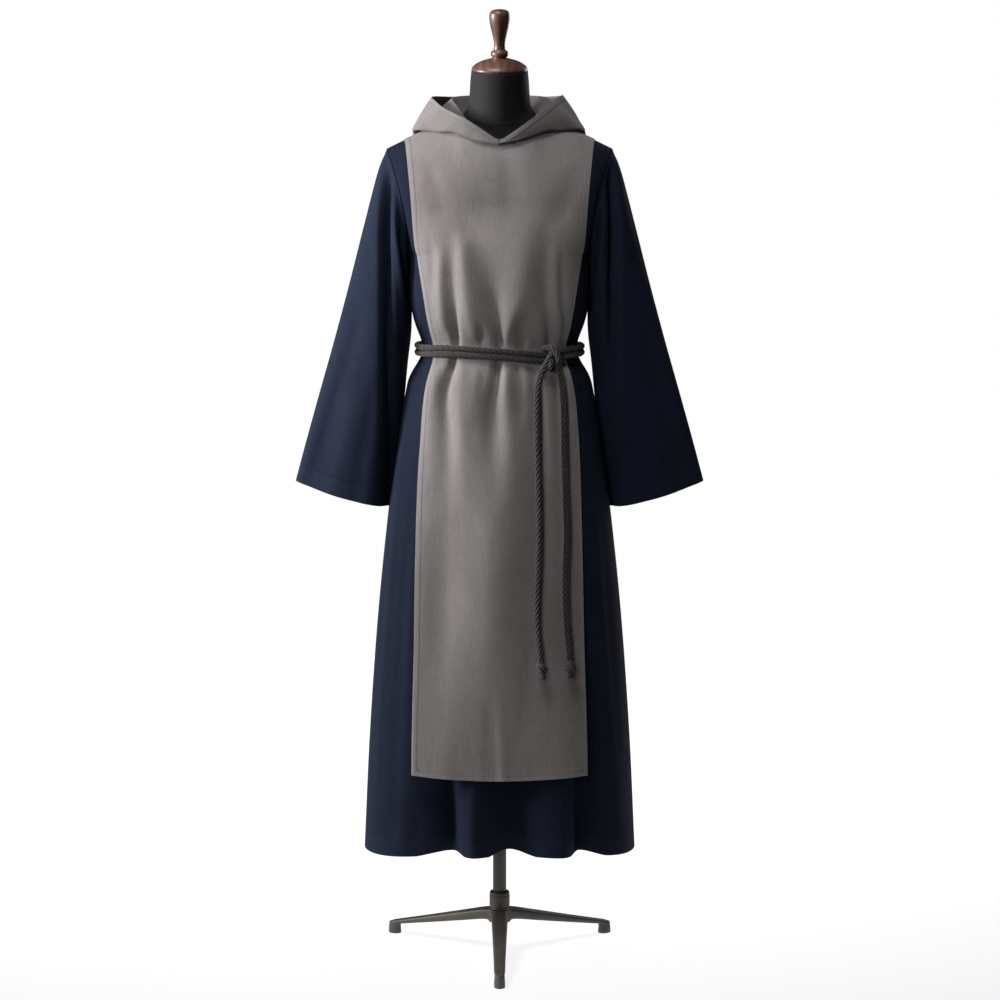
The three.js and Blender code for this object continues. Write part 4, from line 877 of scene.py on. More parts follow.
def scapular_grid(face, lift):
    columns = fine_columns(SCAPULAR_ACROSS, SCAPULAR_COLUMNS)
    p, out, across, _, height = panel_rows(face, columns, SCAPULAR_HEM)
    away = cloth_pull(face, p[..., 0], height) + hang_out(p[..., 2]) + SEAM_GAP + lift
    # Low down the panel hangs flatter than the skirt behind it, so its sides stand off a little more.
    sides = fade(np.abs(across) / SCAPULAR_ACROSS, *FLARE["across"])
    away = away + EDGE_FLARE[face] * fade(height, *FLARE["height"]) * sides
    p = p + out * away[..., None]
    p[..., 1] += face * SEAM_GAP / 2
    # The panel bridges the skirt's narrow hollows, and its hem rises a little toward the corners.
    outward = face * p[..., 1]
    p[..., 1] += face * fade(p[..., 2], *BRIDGE["height"]) * (bridged(outward) - outward)
    hem = PANEL_HEM["rise"] * (p[..., 0] / PANEL_HEM["half"]) ** 2 - PANEL_HEM["drop"]
    p[..., 2] += fade(p[..., 2], *PANEL_HEM["height"]) * hem
    return p


def half_turn(rounds):
    """The angle round a sleeve as the turn from the armhole's top, the same in front and behind."""
    return np.where(rounds <= math.pi, rounds, 2 * math.pi - rounds)


def sleeve_sections(rounds):
    """The seam and the sections of the +X sleeve, as rings of points without folds."""
    s, c = np.sin(rounds), np.cos(rounds)
    turn = half_turn(rounds)
    front = s >= 0
    seam = np.where(front[:, None], armhole_point(FRONT, turn), armhole_point(BACK, turn))
    rings = [seam + np.array([2 * SEAM_GAP, 0, 0])]
    for i, (ox, oz, ix, iz, deep_front, deep_back) in enumerate(SLEEVE_SECTIONS):
        share = (i + 1) / len(SLEEVE_SECTIONS)
        x = (ox + ix) / 2 + (ox - ix) / 2 * c
        skewed = np.sin(rounds - SLEEVE_SKEW * min(1, 3 * share) * s * s)
        y = -np.where(front, deep_front * skewed, deep_back * s) + INNER_EDGE_BACK * ((1 - c) / 2) ** 4
        z = (oz + iz) / 2 + (oz - iz) / 2 * c - CUFF_SAG * share * share * s * s
        rings.append(stack(x, y, z))
    return np.stack(rings)


# Creases of the sleeves: for each, points (share along, degrees round, depth, reach before, reach after),
# or with one reach for both.
SLEEVE_CREASES = [
    # the long trough down the inner half, the swell outside it and the ridge beside the armhole
    [(0.02, 46, 0, 12), (0.07, 54, -8, 12, 11), (0.143, 66, -15, 12, 10), (0.286, 92, -18, 8.5),
     (0.43, 107, -16, 7.5, 8.5), (0.57, 122, -13, 7.5, 10), (0.714, 138, -9, 8, 13), (0.86, 154, -5, 9, 14),
     (1.02, 166, -2, 9, 14)],
    [(0.04, 20, 0, 26, 10), (0.143, 42, 4, 30, 12), (0.286, 72, 8, 40, 10), (0.43, 90, 10, 48, 9),
     (0.57, 102, 10, 54, 10), (0.714, 112, 9, 56, 12), (0.86, 124, 8, 56, 14), (1.02, 134, 7, 56, 14)],
    [(0.03, 78, 0, 10), (0.09, 88, 5, 11, 10), (0.18, 108, 7, 11, 10), (0.3, 132, 5, 11, 10),
     (0.42, 150, 0, 11, 10)],
    [(0.03, 100, 0, 10), (0.1, 112, -6, 11, 10), (0.2, 134, -8, 11, 10), (0.32, 154, -4, 11, 10),
     (0.42, 164, 0, 11, 10)],
    # fainter ones that run to the cuff
    [(0.42, 66, 0, 12, 10), (0.57, 61, -2.6, 13, 11), (0.714, 55, -3.6, 14, 13), (0.86, 50, -3, 14),
     (1.02, 44, -2.4, 14)],
    [(0.6, 104, 0, 9), (0.74, 105, -2.8, 9), (0.88, 106, -3.4, 10), (1.02, 108, -3.4, 11)],
    [(0.66, 82, 0, 9), (0.82, 80, 2, 10), (1.02, 78, 2.6, 11)],
    [(0.1, 30, 0, 9), (0.3, 24, -1.8, 9), (0.5, 20, 0, 9)],
    # behind
    [(0.02, 214, 0, 14), (0.14, 220, -4, 14), (0.36, 230, -5, 12), (0.6, 226, 0, 12)],
    [(0.2, 262, 0, 10), (0.44, 256, 2.6, 12), (0.7, 252, 0, 12)],
    [(0.4, 290, 0, 9), (0.66, 296, -2.6, 10), (1.02, 300, -3.4, 12)],
    [(0.5, 258, 0, 10), (0.78, 262, 2.6, 10), (1.02, 264, 3, 12)],
    [(0.6, 232, 0, 10), (0.84, 230, -3, 11), (1.02, 228, -4, 12)],
]


def sleeve_folds(share, degrees):
    depth = np.zeros(np.broadcast(share, degrees).shape)
    for at, drift, start, end, deep, half in SLEEVE_FOLDS:
        along = (share - start) / (end - start)
        swell = np.where((along > 0) & (along < 1), np.sin(math.pi * np.clip(along, 0, 1)), 0)
        depth -= deep * swell * bell((degrees - at - drift * along) / half)
    for points in SLEEVE_CREASES:
        at, deep, before, after = (column(both_widths(points), k) for k in (1, 2, 3, 4))
        inside = (share >= points[0][0]) & (share <= points[-1][0])
        away = degrees - at(share)
        width = np.where(away < 0, before(share), after(share))
        depth += np.where(inside, deep(share) * bell(away / width), 0)
    return depth


def sleeve_grids(side):
    rounds = np.linspace(0, 2 * math.pi, SLEEVE_COLUMNS, endpoint=False)
    at_seam, even, at_cuff = SLEEVE_GUARDS
    share = np.concatenate([at_seam, np.linspace(*even, SLEEVE_ROWS), at_cuff])
    rings = through(sleeve_sections(rounds), share * len(SLEEVE_SECTIONS))
    around = np.roll(rings, -1, 1) - np.roll(rings, 1, 1)
    out = unit(np.cross(around, np.gradient(rings, axis=0)))
    middle = rings.mean(1, keepdims=True)
    if np.sum(out * (rings - middle)) < 0:
        out = -out
    turn = half_turn(rounds)
    front = (np.sin(rounds) >= 0)[:, None]
    seam = np.where(front, armhole_out(FRONT, turn, 1), armhole_out(BACK, turn, 1))
    near = ease(1 - share / SLEEVE_SEAM_SHARE)[:, None, None]
    out = unit(mix(out, seam[None], near))
    away = sleeve_folds(share[:, None], np.degrees(rounds)[None, :])[..., None]
    # Columns run the other way round on the wearer's other side, so both face out alike.
    flip = np.array([side, 1, 1])
    return (rings + out * away) * flip, (rings + out * (away - CLOTH)) * flip


# ---------------------------------------------------------------- hood
HOOD_ROWS = 96
PROFILE_STEPS = 7
# Rows beside the middle seams, in degrees round, and the profile's first and last places, in stations.
HOOD_GUARDS = (0.5, 1.2, 178.8, 179.5)
PROFILE_GUARDS = (0.06, 0.08)
QUARTERS = (0.25, 0.5, 0.75)


def hood_seam(at):
    """The hood's neck seam on the scapular, at degrees round the neck."""
    across = np.minimum(at, 180 - at) / 90 * NECK_ACROSS
    level = np.zeros(at.shape)
    seams = []
    for face in (FRONT, BACK):
        p = body_point(face, across, level)
        lift = cloth_pull(face, p[..., 0], p[..., 2]) + hang_out(p[..., 2])
        lift = lift + SEAM_GAP + CLOTH + 2 * REST_GAP
        p = p + body_normal(face, across, level) * lift[..., None]
        p[..., 1] += face * SEAM_GAP / 2
        seams.append(p)
    return np.where((at <= 90)[:, None], *seams)


# Soft creases of the laid hood: degrees round, place down the profile from 0 to 1, depth, and half the
# width in degrees and in places.
HOOD_CREASES = {
    -1: [
        (30, 0.72, -1.2, 7, 0.12), (52, 0.66, 1.4, 7, 0.14), (70, 0.74, -1.6, 6, 0.14),
        (100, 0.7, -2.4, 8, 0.16), (118, 0.76, 2.2, 8, 0.16), (134, 0.7, -3, 7, 0.16),
        (150, 0.8, 2.2, 7, 0.14), (168, 0.72, -3.2, 6, 0.2),
    ],
    1: [
        (26, 0.74, -1, 7, 0.12), (46, 0.68, 1.3, 7, 0.14), (66, 0.72, -1.5, 6, 0.14),
        (94, 0.74, -2.2, 8, 0.16), (112, 0.72, 2.4, 8, 0.16), (130, 0.78, -2.6, 8, 0.16),
        (146, 0.7, 2.4, 7, 0.16), (164, 0.76, -2.6, 6, 0.18),
    ],
}


# How far into the profile, and how near the face edge, the soft creases come in.
HOOD_CREASE_IN = (0, 0.45)
HOOD_CREASE_OUT = (1, 0.98)


def hood_profile(at, side, out):
    """Rows of points from the neck seam over the ridge and the fold to the face edge."""
    values = (column(HOOD_STATIONS, k)(at) for k in range(1, len(HOOD_STATIONS[0])))
    *places, slack_in, slack_out = values
    ridge, fold, edge = (stack(*places[k : k + 3]) for k in (0, 3, 6))
    if side > 0:
        lean = RIGHT_SIDE_LEAN
        share = bell((at - lean["at"]) / lean["reach"])[:, None]
        fold = fold - share * np.array([lean["fold"], 0, 0])
        edge = edge + share * np.array([-lean["edge"], 0, lean["lift"]])
    seam = hood_seam(at)

    def rolled(middle, radius, height):
        """Three points over a roll of the cloth: before it, on it and behind it."""
        return [middle - out * radius + UP * height, middle, middle + out * radius + UP * height]

    def between(a, b, shares, slack):
        return [mix(a, b, t) + out * (slack * math.sin(math.pi * t))[:, None] for t in shares]

    ridge = rolled(ridge, RIDGE_ROLL, -RIDGE_ROLL)
    fold = rolled(fold, FOLD_ROLL, FOLD_ROLL)
    return np.stack([
        seam, *between(seam, ridge[0], [0.5], 0 * slack_in),
        *ridge, *between(ridge[2], fold[0], QUARTERS, slack_in),
        *fold, *between(fold[2], edge, QUARTERS, slack_out), edge,
    ])


def hood_grids(side):
    at = np.unique(np.concatenate([np.linspace(0, 180, HOOD_ROWS), HOOD_GUARDS]))
    r = np.radians(at)
    out = stack(np.sin(r), -np.cos(r), np.zeros(at.shape))
    rows = hood_profile(at, side, out)
    last = len(rows) - 1
    guards = (PROFILE_GUARDS[0], last - PROFILE_GUARDS[1])
    place = np.unique(np.concatenate([np.linspace(0, last, PROFILE_STEPS * last + 1), guards]))
    fine = through(rows, place).transpose(1, 0, 2)
    normal = unit(np.cross(np.gradient(fine, axis=1), np.gradient(fine, axis=0)))
    share = (place / last)[None, :]
    puff = np.zeros(fine.shape[:2])
    for round_, where, deep, half, reach in HOOD_CREASES[side]:
        puff += deep * bell((at[:, None] - round_) / half) * bell((share - where) / reach)
    puff = puff * fade(share, *HOOD_CREASE_IN) * fade(share, *HOOD_CREASE_OUT)
    fine = fine + out[:, None, :] * puff[..., None]
    fine[..., 0] += SEAM_GAP / 2
    flip = np.array([side, 1, 1])
    faces = [(fine + normal * (sign * CLOTH / 2)) * flip for sign in (1, -1)]
    for grid in faces:
        for end in (0, -1):
            grid[end, :, 0] = side * SEAM_GAP / 2
    return faces


# ---------------------------------------------------------------- dress form
NECK_RINGS = [
    # half width, front, back, height in front, at the side, behind
    (68, -67, 63, 1508, 1553, 1552),
    (57.5, -62, 55, 1530, 1566, 1572),
    (54.4, -60, 50, 1568, 1588, 1598),
    (53, -59, 46, 1600, 1611, 1620),
]
NECK_TOP = dict(y=-7, z=1631.3, radius=51, lean=9)
FORM_BOTTOM_RINGS = [(0.985, 822), (0.96, 811), (0.9, 804.5), (0.82, 801.5), (0.72, FORM_BOTTOM)]
FORM_FINE = 7
FORM_YOKE_ROWS = 34
# From just below the underarm down to the lower edge, and the step, in mm.
FORM_HEIGHTS = (1285, 829, -13.0)
# How much looser than its top the form gets, and how many times sooner than at the underarm.
FORM_SHOULDER_EASE = (0.8, 6)
# A column this far across lies on the side seam.
SIDE_SEAM = 0.999
NECK_STEPS = (7, 45)
NECK_RIM = 1.2


def form_walls():
    """Rings of the torso from the shoulders down over its rounded lower edge."""
    inset_top = CLOTH + 2 * REST_GAP
    across = np.linspace(-1, 1, 2 * COLUMNS * FORM_FINE + 1)
    level = np.concatenate([np.linspace(0, 1, FORM_YOKE_ROWS), level_at(np.arange(*FORM_HEIGHTS))])
    a, rows = np.meshgrid(across, level)
    border = (np.abs(a) > SIDE_SEAM) & (rows <= 1)
    inset_side = SECTIONS[0][4]
    sides = []
    for face in (FRONT, BACK):
        p = body_point(face, a, rows)
        seam = armhole_out(face, np.clip(rows, 0, 1) * math.pi, np.sign(a))
        out = np.where(border[..., None], seam, body_normal(face, a, rows))
        inset = np.where(rows < 1, mix(inset_top, inset_side, ease(rows)), inset_at(height_at(rows)))
        inset = inset + FORM_SHOULDER_EASE[0] * ease(rows * FORM_SHOULDER_EASE[1])
        p = p - out * inset[..., None]
        p[..., 0] -= np.where(border, np.sign(a) * inset_side * ease(rows), 0)
        p[0] = shoulder_line(face, across) - np.array([0, 0, inset_top])
        sides.append(p)
    ring = np.concatenate([sides[0], sides[1][:, ::-1]], axis=1)
    lowest = ring[-1]
    middle = lowest.mean(0)
    under = [stack(*mix(middle, lowest, scale).T[:2], z)[None] for scale, z in FORM_BOTTOM_RINGS]
    return np.concatenate([ring, *under]), middle


def form_torso():
    grid, middle = form_walls()
    count = grid.shape[1]
    walls = grid.reshape(-1, 3)
    side, half, mid = 3 * FORM_FINE, count // 2, COLUMNS * FORM_FINE
    behind = half + mid - side + 1 + np.arange(2 * side - 1)
    loop = np.concatenate([np.arange(mid - side, mid + side + 1), behind])
    n = len(loop)
    rounds = np.radians(-90 + np.arange(n) * 90 / side)
    s, c = np.sin(rounds), np.cos(rounds)
    lean = math.tan(math.radians(NECK_TOP["lean"]))
    stations = [walls[loop]]
    for half_w, front, back, z_front, z_side, z_back in NECK_RINGS:
        y = np.where(c > 0, front, -back) * c
        stations.append(stack(half_w * s, y, mix(z_side, np.where(c > 0, z_front, z_back), c * c)))

    def top_ring(radius):
        return stack(radius * s, NECK_TOP["y"] - radius * c, NECK_TOP["z"] - radius * c * lean)

    rows = np.stack([*stations, top_ring(NECK_TOP["radius"])])
    ends = ((0, 1), (1, len(rows) - 1))
    at = np.concatenate([np.linspace(*end, steps)[1:] for end, steps in zip(ends, NECK_STEPS)])
    neck = through(rows, at)
    start = len(walls)
    first, rim = start + np.arange(n), start + len(neck) * n + np.arange(n)
    last = rim - n
    tips = rim[-1] + np.array([1, 2])
    points = np.concatenate([
        walls, neck.reshape(-1, 3), top_ring(NECK_TOP["radius"] - NECK_RIM),
        [[0, NECK_TOP["y"], NECK_TOP["z"]], [middle[0], middle[1], FORM_BOTTOM]],
    ])
    faces = [
        grid_faces(len(grid), count, 0, True),
        strip(loop, first)[:, ::-1],
        grid_faces(len(neck), n, start, True, True),
        strip(last, rim)[:, ::-1],
    ]
    lists = [row for part in faces for row in part.tolist()]
    bottom = (len(grid) - 1) * count + np.arange(count)
    return points, lists + fan(rim, tips[0]) + fan(bottom, tips[1], True)


# ---------------------------------------------------------------- turned and cast pieces
CAP_PROFILE = [
    (0, 0), (48.6, 0), (50, 0.5), (50.6, 1.6), (50.6, 4), (49.9, 5.4), (47, 8.8), (40, 13.6), (31, 17.6),
    (21, 20.6), (14.6, 22.4), (13.2, 24.2), (15.4, 27), (16, 30.5), (15, 34), (11.6, 37), (10.2, 42),
    (10.2, 49), (11.2, 56), (13.2, 65), (15.8, 76), (18, 87), (18.6, 95), (18, 101.5), (15.4, 106),
    (10, 108.6), (0, 109.6),
]
POLE = dict(radius=12.5, low=108.3)
COLLAR = dict(radius=19, low=80.3, top=113, groove=3, deep=1.2, rim=4)
HUB = dict(radius=21, low=55, top=80)
LEG_STATIONS = [
    # reach, half width, top, bottom
    (4, 16, 79.5, 56), (26, 15.5, 79, 57), (75, 14, 66.5, 47.5), (125, 12.5, 53, 37.5),
    (180, 11, 38.4, 26.8), (226, 9.8, 26.5, 18.3), (236, 7.5, 24, 18.3),
]
FOOT = dict(half_length=13, half_width=10.5, reach=232, top=22, taper=1.5)
# The legs' directions in degrees round from +X.
HEADINGS = (-90, 150, 30)
SIDES = dict(cap=96, pole=64, collar=96, hub=64, foot=48, leg=24)
LEG_ROWS = 40
# The casting's softening: voxel in metres, share and passes of smoothing, and where its feet are cut flat.
MELT = dict(voxel=0.0016, factor=0.5, passes=9, flat_below=0.0012)


def lathe(profile, sides):
    profile = np.asarray(profile, float)
    turn = np.linspace(0, 2 * math.pi, sides, endpoint=False)
    ring = profile[1:-1]
    grid = stack(ring[:, :1] * np.cos(turn), ring[:, :1] * np.sin(turn), ring[:, 1:])
    points = np.concatenate([grid.reshape(-1, 3), [[0, 0, profile[0][1]], [0, 0, profile[-1][1]]]])
    n = len(ring) * sides
    first = np.arange(sides)
    lists = grid_faces(len(ring), sides, 0, True).tolist()
    return points, lists + fan(first, n) + fan(first + n - sides, n + 1, True)


# A corner is cut back by no more than this share of the edges that meet in it.
CORNER_SHARE = 0.45


def rounded(profile, radius, steps=4):
    """A lathe profile with each corner rounded."""
    p = np.asarray(profile, float)
    out = [p[0]]
    for a, b, c in zip(p, p[1:], p[2:]):
        back, ahead = a - b, c - b
        lb, la = np.linalg.norm(back), np.linalg.norm(ahead)
        cut = min(radius, lb * CORNER_SHARE, la * CORNER_SHARE)
        start, end = b + back / lb * cut, b + ahead / la * cut
        for t in np.linspace(0, 1, steps):
            out.append((1 - t) ** 2 * start + 2 * t * (1 - t) * b + t * t * end)
    out.append(p[-1])
    return np.array(out)


# ---------------------------------------------------------------- materials
class Finish:
    """A material being built from nodes."""

    def __init__(self, name):
        self.material = bpy.data.materials.new(name)
        self.material.use_nodes = True
        self.tree = self.material.node_tree
        self.tree.nodes.clear()

    def connect(self, made, key, value):
        if isinstance(value, bpy.types.NodeSocket):
            self.tree.links.new(value, made.inputs[key])
        else:
            made.inputs[key].default_value = value

    def node(self, kind, inputs=None, **settings):
        made = self.tree.nodes.new("ShaderNode" + kind)
        for key, value in settings.items():
            setattr(made, key, value)
        for key, value in (inputs or {}).items():
            self.connect(made, key, value)
        return made

    def math(self, operation, a, b=0.0, c=0.0, clamp=False):
        return self.node("Math", {0: a, 1: b, 2: c}, operation=operation, use_clamp=clamp).outputs[0]

    def times(self, a, b):
        return self.math("MULTIPLY", a, b)

    def plus(self, a, b):
        return self.math("ADD", a, b)

    def scaled(self, a, by, more, clamp=False):
        """a times by, and more."""
        return self.math("MULTIPLY_ADD", a, by, more, clamp)

    def spread(self, noise):
        """A noise from -0.5 to 0.5."""
        return self.math("SUBTRACT", noise, 0.5)

    def distance(self, a, b):
        return self.math("ABSOLUTE", self.math("SUBTRACT", a, b))

    def wave(self, a, length):
        return self.math("SINE", self.times(a, 2 * math.pi / length))

    def band(self, value, low, high, invert=False):
        """0 below low, 1 above high, smooth between them."""
        to = (1.0, 0.0) if invert else (0.0, 1.0)
        inputs = {"Value": value, 1: low, 2: high, 3: to[0], 4: to[1]}
        return self.node("MapRange", inputs, interpolation_type="SMOOTHSTEP").outputs[0]

    def vector(self, x, y, z=0.0):
        return self.node("CombineXYZ", {0: x, 1: y, 2: z}).outputs[0]

    def noise(self, where, scale, detail=3.0, rough=0.55, distortion=0.0):
        inputs = {"Vector": where, "Scale": scale, "Detail": detail, "Roughness": rough}
        return self.node("TexNoise", {**inputs, "Distortion": distortion}).outputs["Fac"]

    def streaks(self, u, v, across, along):
        """Noise drawn out along v or u."""
        return self.noise(self.vector(self.times(u, across), self.times(v, along)), 1, 3, 0.7)

    def mixed(self, share, a, b):
        made = self.node("Mix", {0: share}, data_type="RGBA", clamp_factor=True)
        for key, value in ((6, a), (7, b)):
            self.connect(made, key, (*value, 1) if isinstance(value, tuple) else value)
        return made.outputs[2]

    def place_of(self):
        """The place on the object in metres, whole and as x, y and z."""
        where = self.node("TexCoord").outputs["Object"]
        return where, *self.node("SeparateXYZ", {0: where}).outputs

    def uv(self, layer):
        split = self.node("SeparateXYZ", {0: self.node("UVMap", uv_map=layer).outputs[0]})
        return split.outputs[0], split.outputs[1]

    def done(self, paint, rough, shine, bumps=(), sheen=None, **more):
        """The finished material. Each bump is a height and its depth in metres, and a sheen is its
        weight, roughness and tint."""
        inputs = {"Base Color": paint, "Roughness": rough, "Specular IOR Level": shine}
        for height, depth in bumps:
            under = {"Normal": inputs["Normal"]} if "Normal" in inputs else {}
            made = self.node("Bump", {"Height": height, "Distance": depth, "Strength": 1.0, **under})
            inputs["Normal"] = made.outputs[0]
        if sheen:
            weight, roughness, tint = sheen
            inputs.update({"Sheen Weight": weight, "Sheen Roughness": roughness, "Sheen Tint": (*tint, 1)})
        inputs.update({key.replace("_", " "): value for key, value in more.items()})
        self.node("OutputMaterial", {0: self.node("BsdfPrincipled", inputs).outputs[0]})
        return self.material


# The cloth's own measures in metres: the twill's rib and warp, and the hem's stitches and puckers.
RIB, WARP = 0.00125, 0.0009
STITCH = 0.0019
STITCH_INSET = 0.0018
PUCKER = 0.009


def cloth_finish(name, tint, deep, light, slub, hem_width, sheen, shine):
    """Plain woven wool with slubs, a turned and topstitched hem, and sewn seams."""
    f = Finish(name)
    u, v = f.uv("weave")
    away, beside = f.uv("hem")
    from_seam, _ = f.uv("seam")
    wobble = f.times(f.spread(f.noise(f.vector(u, v), 38, 2)), 0.0012)
    uu, vv = f.plus(u, wobble), f.plus(v, wobble)
    # Fine 2/1 twill: the rib runs up to the right.
    rib = f.wave(f.math("SUBTRACT", vv, f.times(uu, 0.8)), RIB)
    weave = f.scaled(f.wave(uu, WARP), 0.35, rib)
    slubs = f.plus(f.spread(f.streaks(u, v, 34, 620)), f.spread(f.streaks(u, v, 540, 22)))
    cloud = f.noise(f.vector(u, v), 9, 4, 0.6)
    fuzz = f.noise(f.vector(u, v), 700, 3, 0.7)
    # The hem: a second layer of cloth, raised and with a painted highlight, its topstitching with painted
    # shade in the stitch groove, and the edge's own roll.
    band = f.band(away, hem_width - 0.0008, hem_width + 0.0006, invert=True)
    line = f.distance(away, hem_width - STITCH_INSET)
    on_line = f.band(line, 0.0003, 0.0008, invert=True)
    thread = f.times(on_line, f.band(f.math("PINGPONG", beside, STITCH), 0.0004, 0.0008))
    seam = f.band(from_seam, 0.0003, 0.0026, invert=True)
    pucker = f.times(f.band(line, 0.001, 0.005, invert=True), f.wave(beside, PUCKER))
    tone = f.scaled(slubs, slub, 0.5)
    tone = f.scaled(f.spread(cloud), 0.5, tone)
    tone = f.scaled(f.spread(fuzz), 0.35, tone)
    tone = f.scaled(weave, 0.05, tone, clamp=True)
    paint = f.mixed(tone, deep, light)
    # A painted highlight on the raised hem band, and painted shade in the stitch groove.
    paint = f.mixed(f.times(band, 0.16), paint, tuple(1.15 * x for x in light))
    paint = f.mixed(f.times(on_line, 0.7), paint, tuple(0.8 * x for x in deep))
    paint = f.mixed(f.times(thread, 0.3), paint, light)
    paint = f.mixed(f.times(seam, 0.4), paint, tuple(0.45 * x for x in deep))
    bumps = [
        (cloud, 0.0016), (band, 0.0008), (pucker, 0.00012), (f.times(on_line, -1.0), 0.0003),
        (thread, 0.0002), (f.times(seam, -1.0), 0.0007), (slubs, 0.00022), (weave, 0.00006), (fuzz, 0.00012),
    ]
    return f.done(paint, f.scaled(fuzz, 0.2, 0.78), shine, bumps, (sheen, 0.45, tint))


def rope_finish():
    """Charcoal twisted cotton: yarns along each strand, painted shade in the valleys between strands, and
    loose fibres.
    """
    f = Finish("charcoal_twisted_rope")
    u, v = f.uv("rope")
    where = f.place_of()[0]
    grain = f.noise(where, 900, 3, 0.7)
    patch = f.noise(where, 60, 3, 0.6)
    yarn_at = f.scaled(v, 2 * math.pi / 0.011, f.times(u, 6.5))
    yarns = f.math("SINE", f.scaled(patch, 1.2, yarn_at))
    fibres = f.streaks(u, v, 9, 260)
    valley_shade = f.band(u, 0.4, 0.9)
    tone = f.scaled(yarns, 0.1, f.scaled(fibres, 0.5, 0.1))
    tone = f.scaled(f.spread(grain), 0.7, tone)
    tone = f.scaled(f.spread(patch), 0.4, tone, clamp=True)
    paint = f.mixed(tone, (0.022, 0.0199, 0.0192), (0.080, 0.0725, 0.0695))
    # The valleys between the strands are painted near-black: painted shade.
    paint = f.mixed(f.times(valley_shade, 0.94), paint, (0.005, 0.0045, 0.0044))
    bumps = [(yarns, 0.00022), (fibres, 0.0004), (grain, 0.00035)]
    return f.done(paint, f.scaled(grain, 0.2, 0.74), 0.25, bumps, (0.3, 0.5, (0.6, 0.58, 0.56)))


# Where the cover's neck seam lies: its height at the middle, and how it falls toward the front.
COVER_SEAM = 1.5568
COVER_SEAM_SLOPE = -0.34


def cover_finish():
    """The form's close black jersey, with the seam where the neck piece is sewn on."""
    f = Finish("black_jersey_cover")
    where, x, y, z = f.place_of()
    wale = f.math("SINE", f.times(f.math("ARCTAN2", x, y), 190.0))
    knit = f.times(wale, f.wave(z, 0.0013))
    fuzz = f.noise(where, 650, 3, 0.7)
    cloud = f.noise(where, 14, 3)
    line = f.distance(f.scaled(y, COVER_SEAM_SLOPE, z), COVER_SEAM)
    seam = f.band(line, 0.0004, 0.0013, invert=True)
    ridge = f.band(line, 0.001, 0.004, invert=True)
    tone = f.scaled(knit, 0.12, f.scaled(fuzz, 0.5, 0.2), clamp=True)
    paint = f.mixed(tone, (0.0029, 0.0030, 0.0030), (0.0068, 0.0070, 0.0067))
    paint = f.mixed(f.times(seam, 0.7), paint, (0.006, 0.006, 0.006))
    sunk = f.times(seam, -1.0)
    bumps = [(cloud, 0.001), (ridge, 0.0006), (sunk, 0.0008), (knit, 0.00008), (fuzz, 0.0001)]
    return f.done(paint, f.scaled(fuzz, 0.2, 0.66), 0.35, bumps, (0.2, 0.4, (0.5, 0.51, 0.52)))


def wood_finish():
    """Varnished reddish-brown wood with a grain that runs through the turned cap."""
    f = Finish("varnished_walnut")
    where, x, y, z = f.place_of()
    bend = f.noise(where, 16, 2)
    grain = f.noise(f.vector(f.times(x, 160), f.times(y, 160), f.scaled(z, 14, bend)), 1, 4, 0.65, 0.6)
    pores = f.noise(f.vector(f.times(x, 900), f.times(y, 900), f.times(z, 60)), 1, 2, 0.6)
    rings = f.math("SINE", f.scaled(bend, 9.0, f.times(x, 420.0)))
    paint = f.mixed(f.scaled(rings, 0.16, grain, clamp=True), (0.062, 0.028, 0.020), (0.205, 0.104, 0.074))
    paint = f.mixed(f.band(pores, 0.62, 0.75), paint, (0.022, 0.012, 0.009))
    wear = f.noise(where, 120, 3)
    bumps = [(grain, 0.0001), (pores, 0.00005), (wear, 0.00003)]
    return f.done(paint, f.scaled(wear, 0.16, 0.34), 0.5, bumps, Coat_Weight=0.35, Coat_Roughness=0.3)


def metal_finish():
    """Satin bronze-grey enamel on cast and drawn metal, rubbed on its high places."""
    f = Finish("satin_bronze_grey")
    where, _, _, z = f.place_of()
    speck = f.noise(where, 1100, 2, 0.6)
    orange = f.noise(where, 260, 3, 0.55)
    cloud = f.noise(where, 22, 3)
    dust = f.band(z, 0.004, 0.05, invert=True)
    tone = f.scaled(f.spread(speck), 0.8, cloud, clamp=True)
    paint = f.mixed(tone, (0.047, 0.041, 0.036), (0.095, 0.083, 0.073))
    paint = f.mixed(f.times(dust, 0.2), paint, (0.08, 0.076, 0.07))
    worn = f.band(f.node("NewGeometry").outputs["Pointiness"], 0.53, 0.6)
    paint = f.mixed(f.times(worn, 0.35), paint, (0.13, 0.115, 0.1))
    bumps = [(cloud, 0.0008), (orange, 0.00018), (speck, 0.00004)]
    return f.done(paint, f.scaled(orange, 0.2, 0.44), 0.4, bumps, Metallic=0.3)


def floor_finish():
    f = Finish("pale_studio_floor")
    tone = f.noise(f.place_of()[0], 0.6, 2)
    return f.done(f.mixed(tone, (0.86, 0.86, 0.86), (0.9, 0.9, 0.9)), 0.9, 0.1)


# ---------------------------------------------------------------- camera
# In metres; the tilt is in degrees from straight down, and the lens and the sensor in mm.
CAMERA = dict(location=(0.0007, -5.0, 1.5), tilt=82.61, lens=98.7)
SENSOR = 36


def look(location, tilt, lens):
    data = bpy.data.cameras.new("photo_camera")
    data.lens = lens
    data.sensor_width = SENSOR
    camera = bpy.data.objects.new("photo_camera", data)
    camera.location = location
    camera.rotation_euler = (math.radians(tilt), 0, 0)
    bpy.context.scene.collection.objects.link(camera)
    bpy.context.scene.camera = camera


def dress(obj, finish, slot, *nodes):
    """Gives an object its material, hangs it on the root body and hides the CAD parts that it stands for."""
    obj.data.materials.append(finish)
    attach(obj, "root")
    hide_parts(*nodes)
    return obj


look(**CAMERA)

# ---------------------------------------------------------------- the belt's free ends
rope_look = rope_finish()
ROPE_STEP = 2.1
END_SWELL = 1.1
# The stopper knot: turns of its coil, how far out and how tall it is, and the three ropes' radii.
STOPPER = dict(turns=2.05, reach=5.6, start=1.5, height=18.5, back=2.5, tilt=2.1, radii=(5.3, 4.6, 4.6))
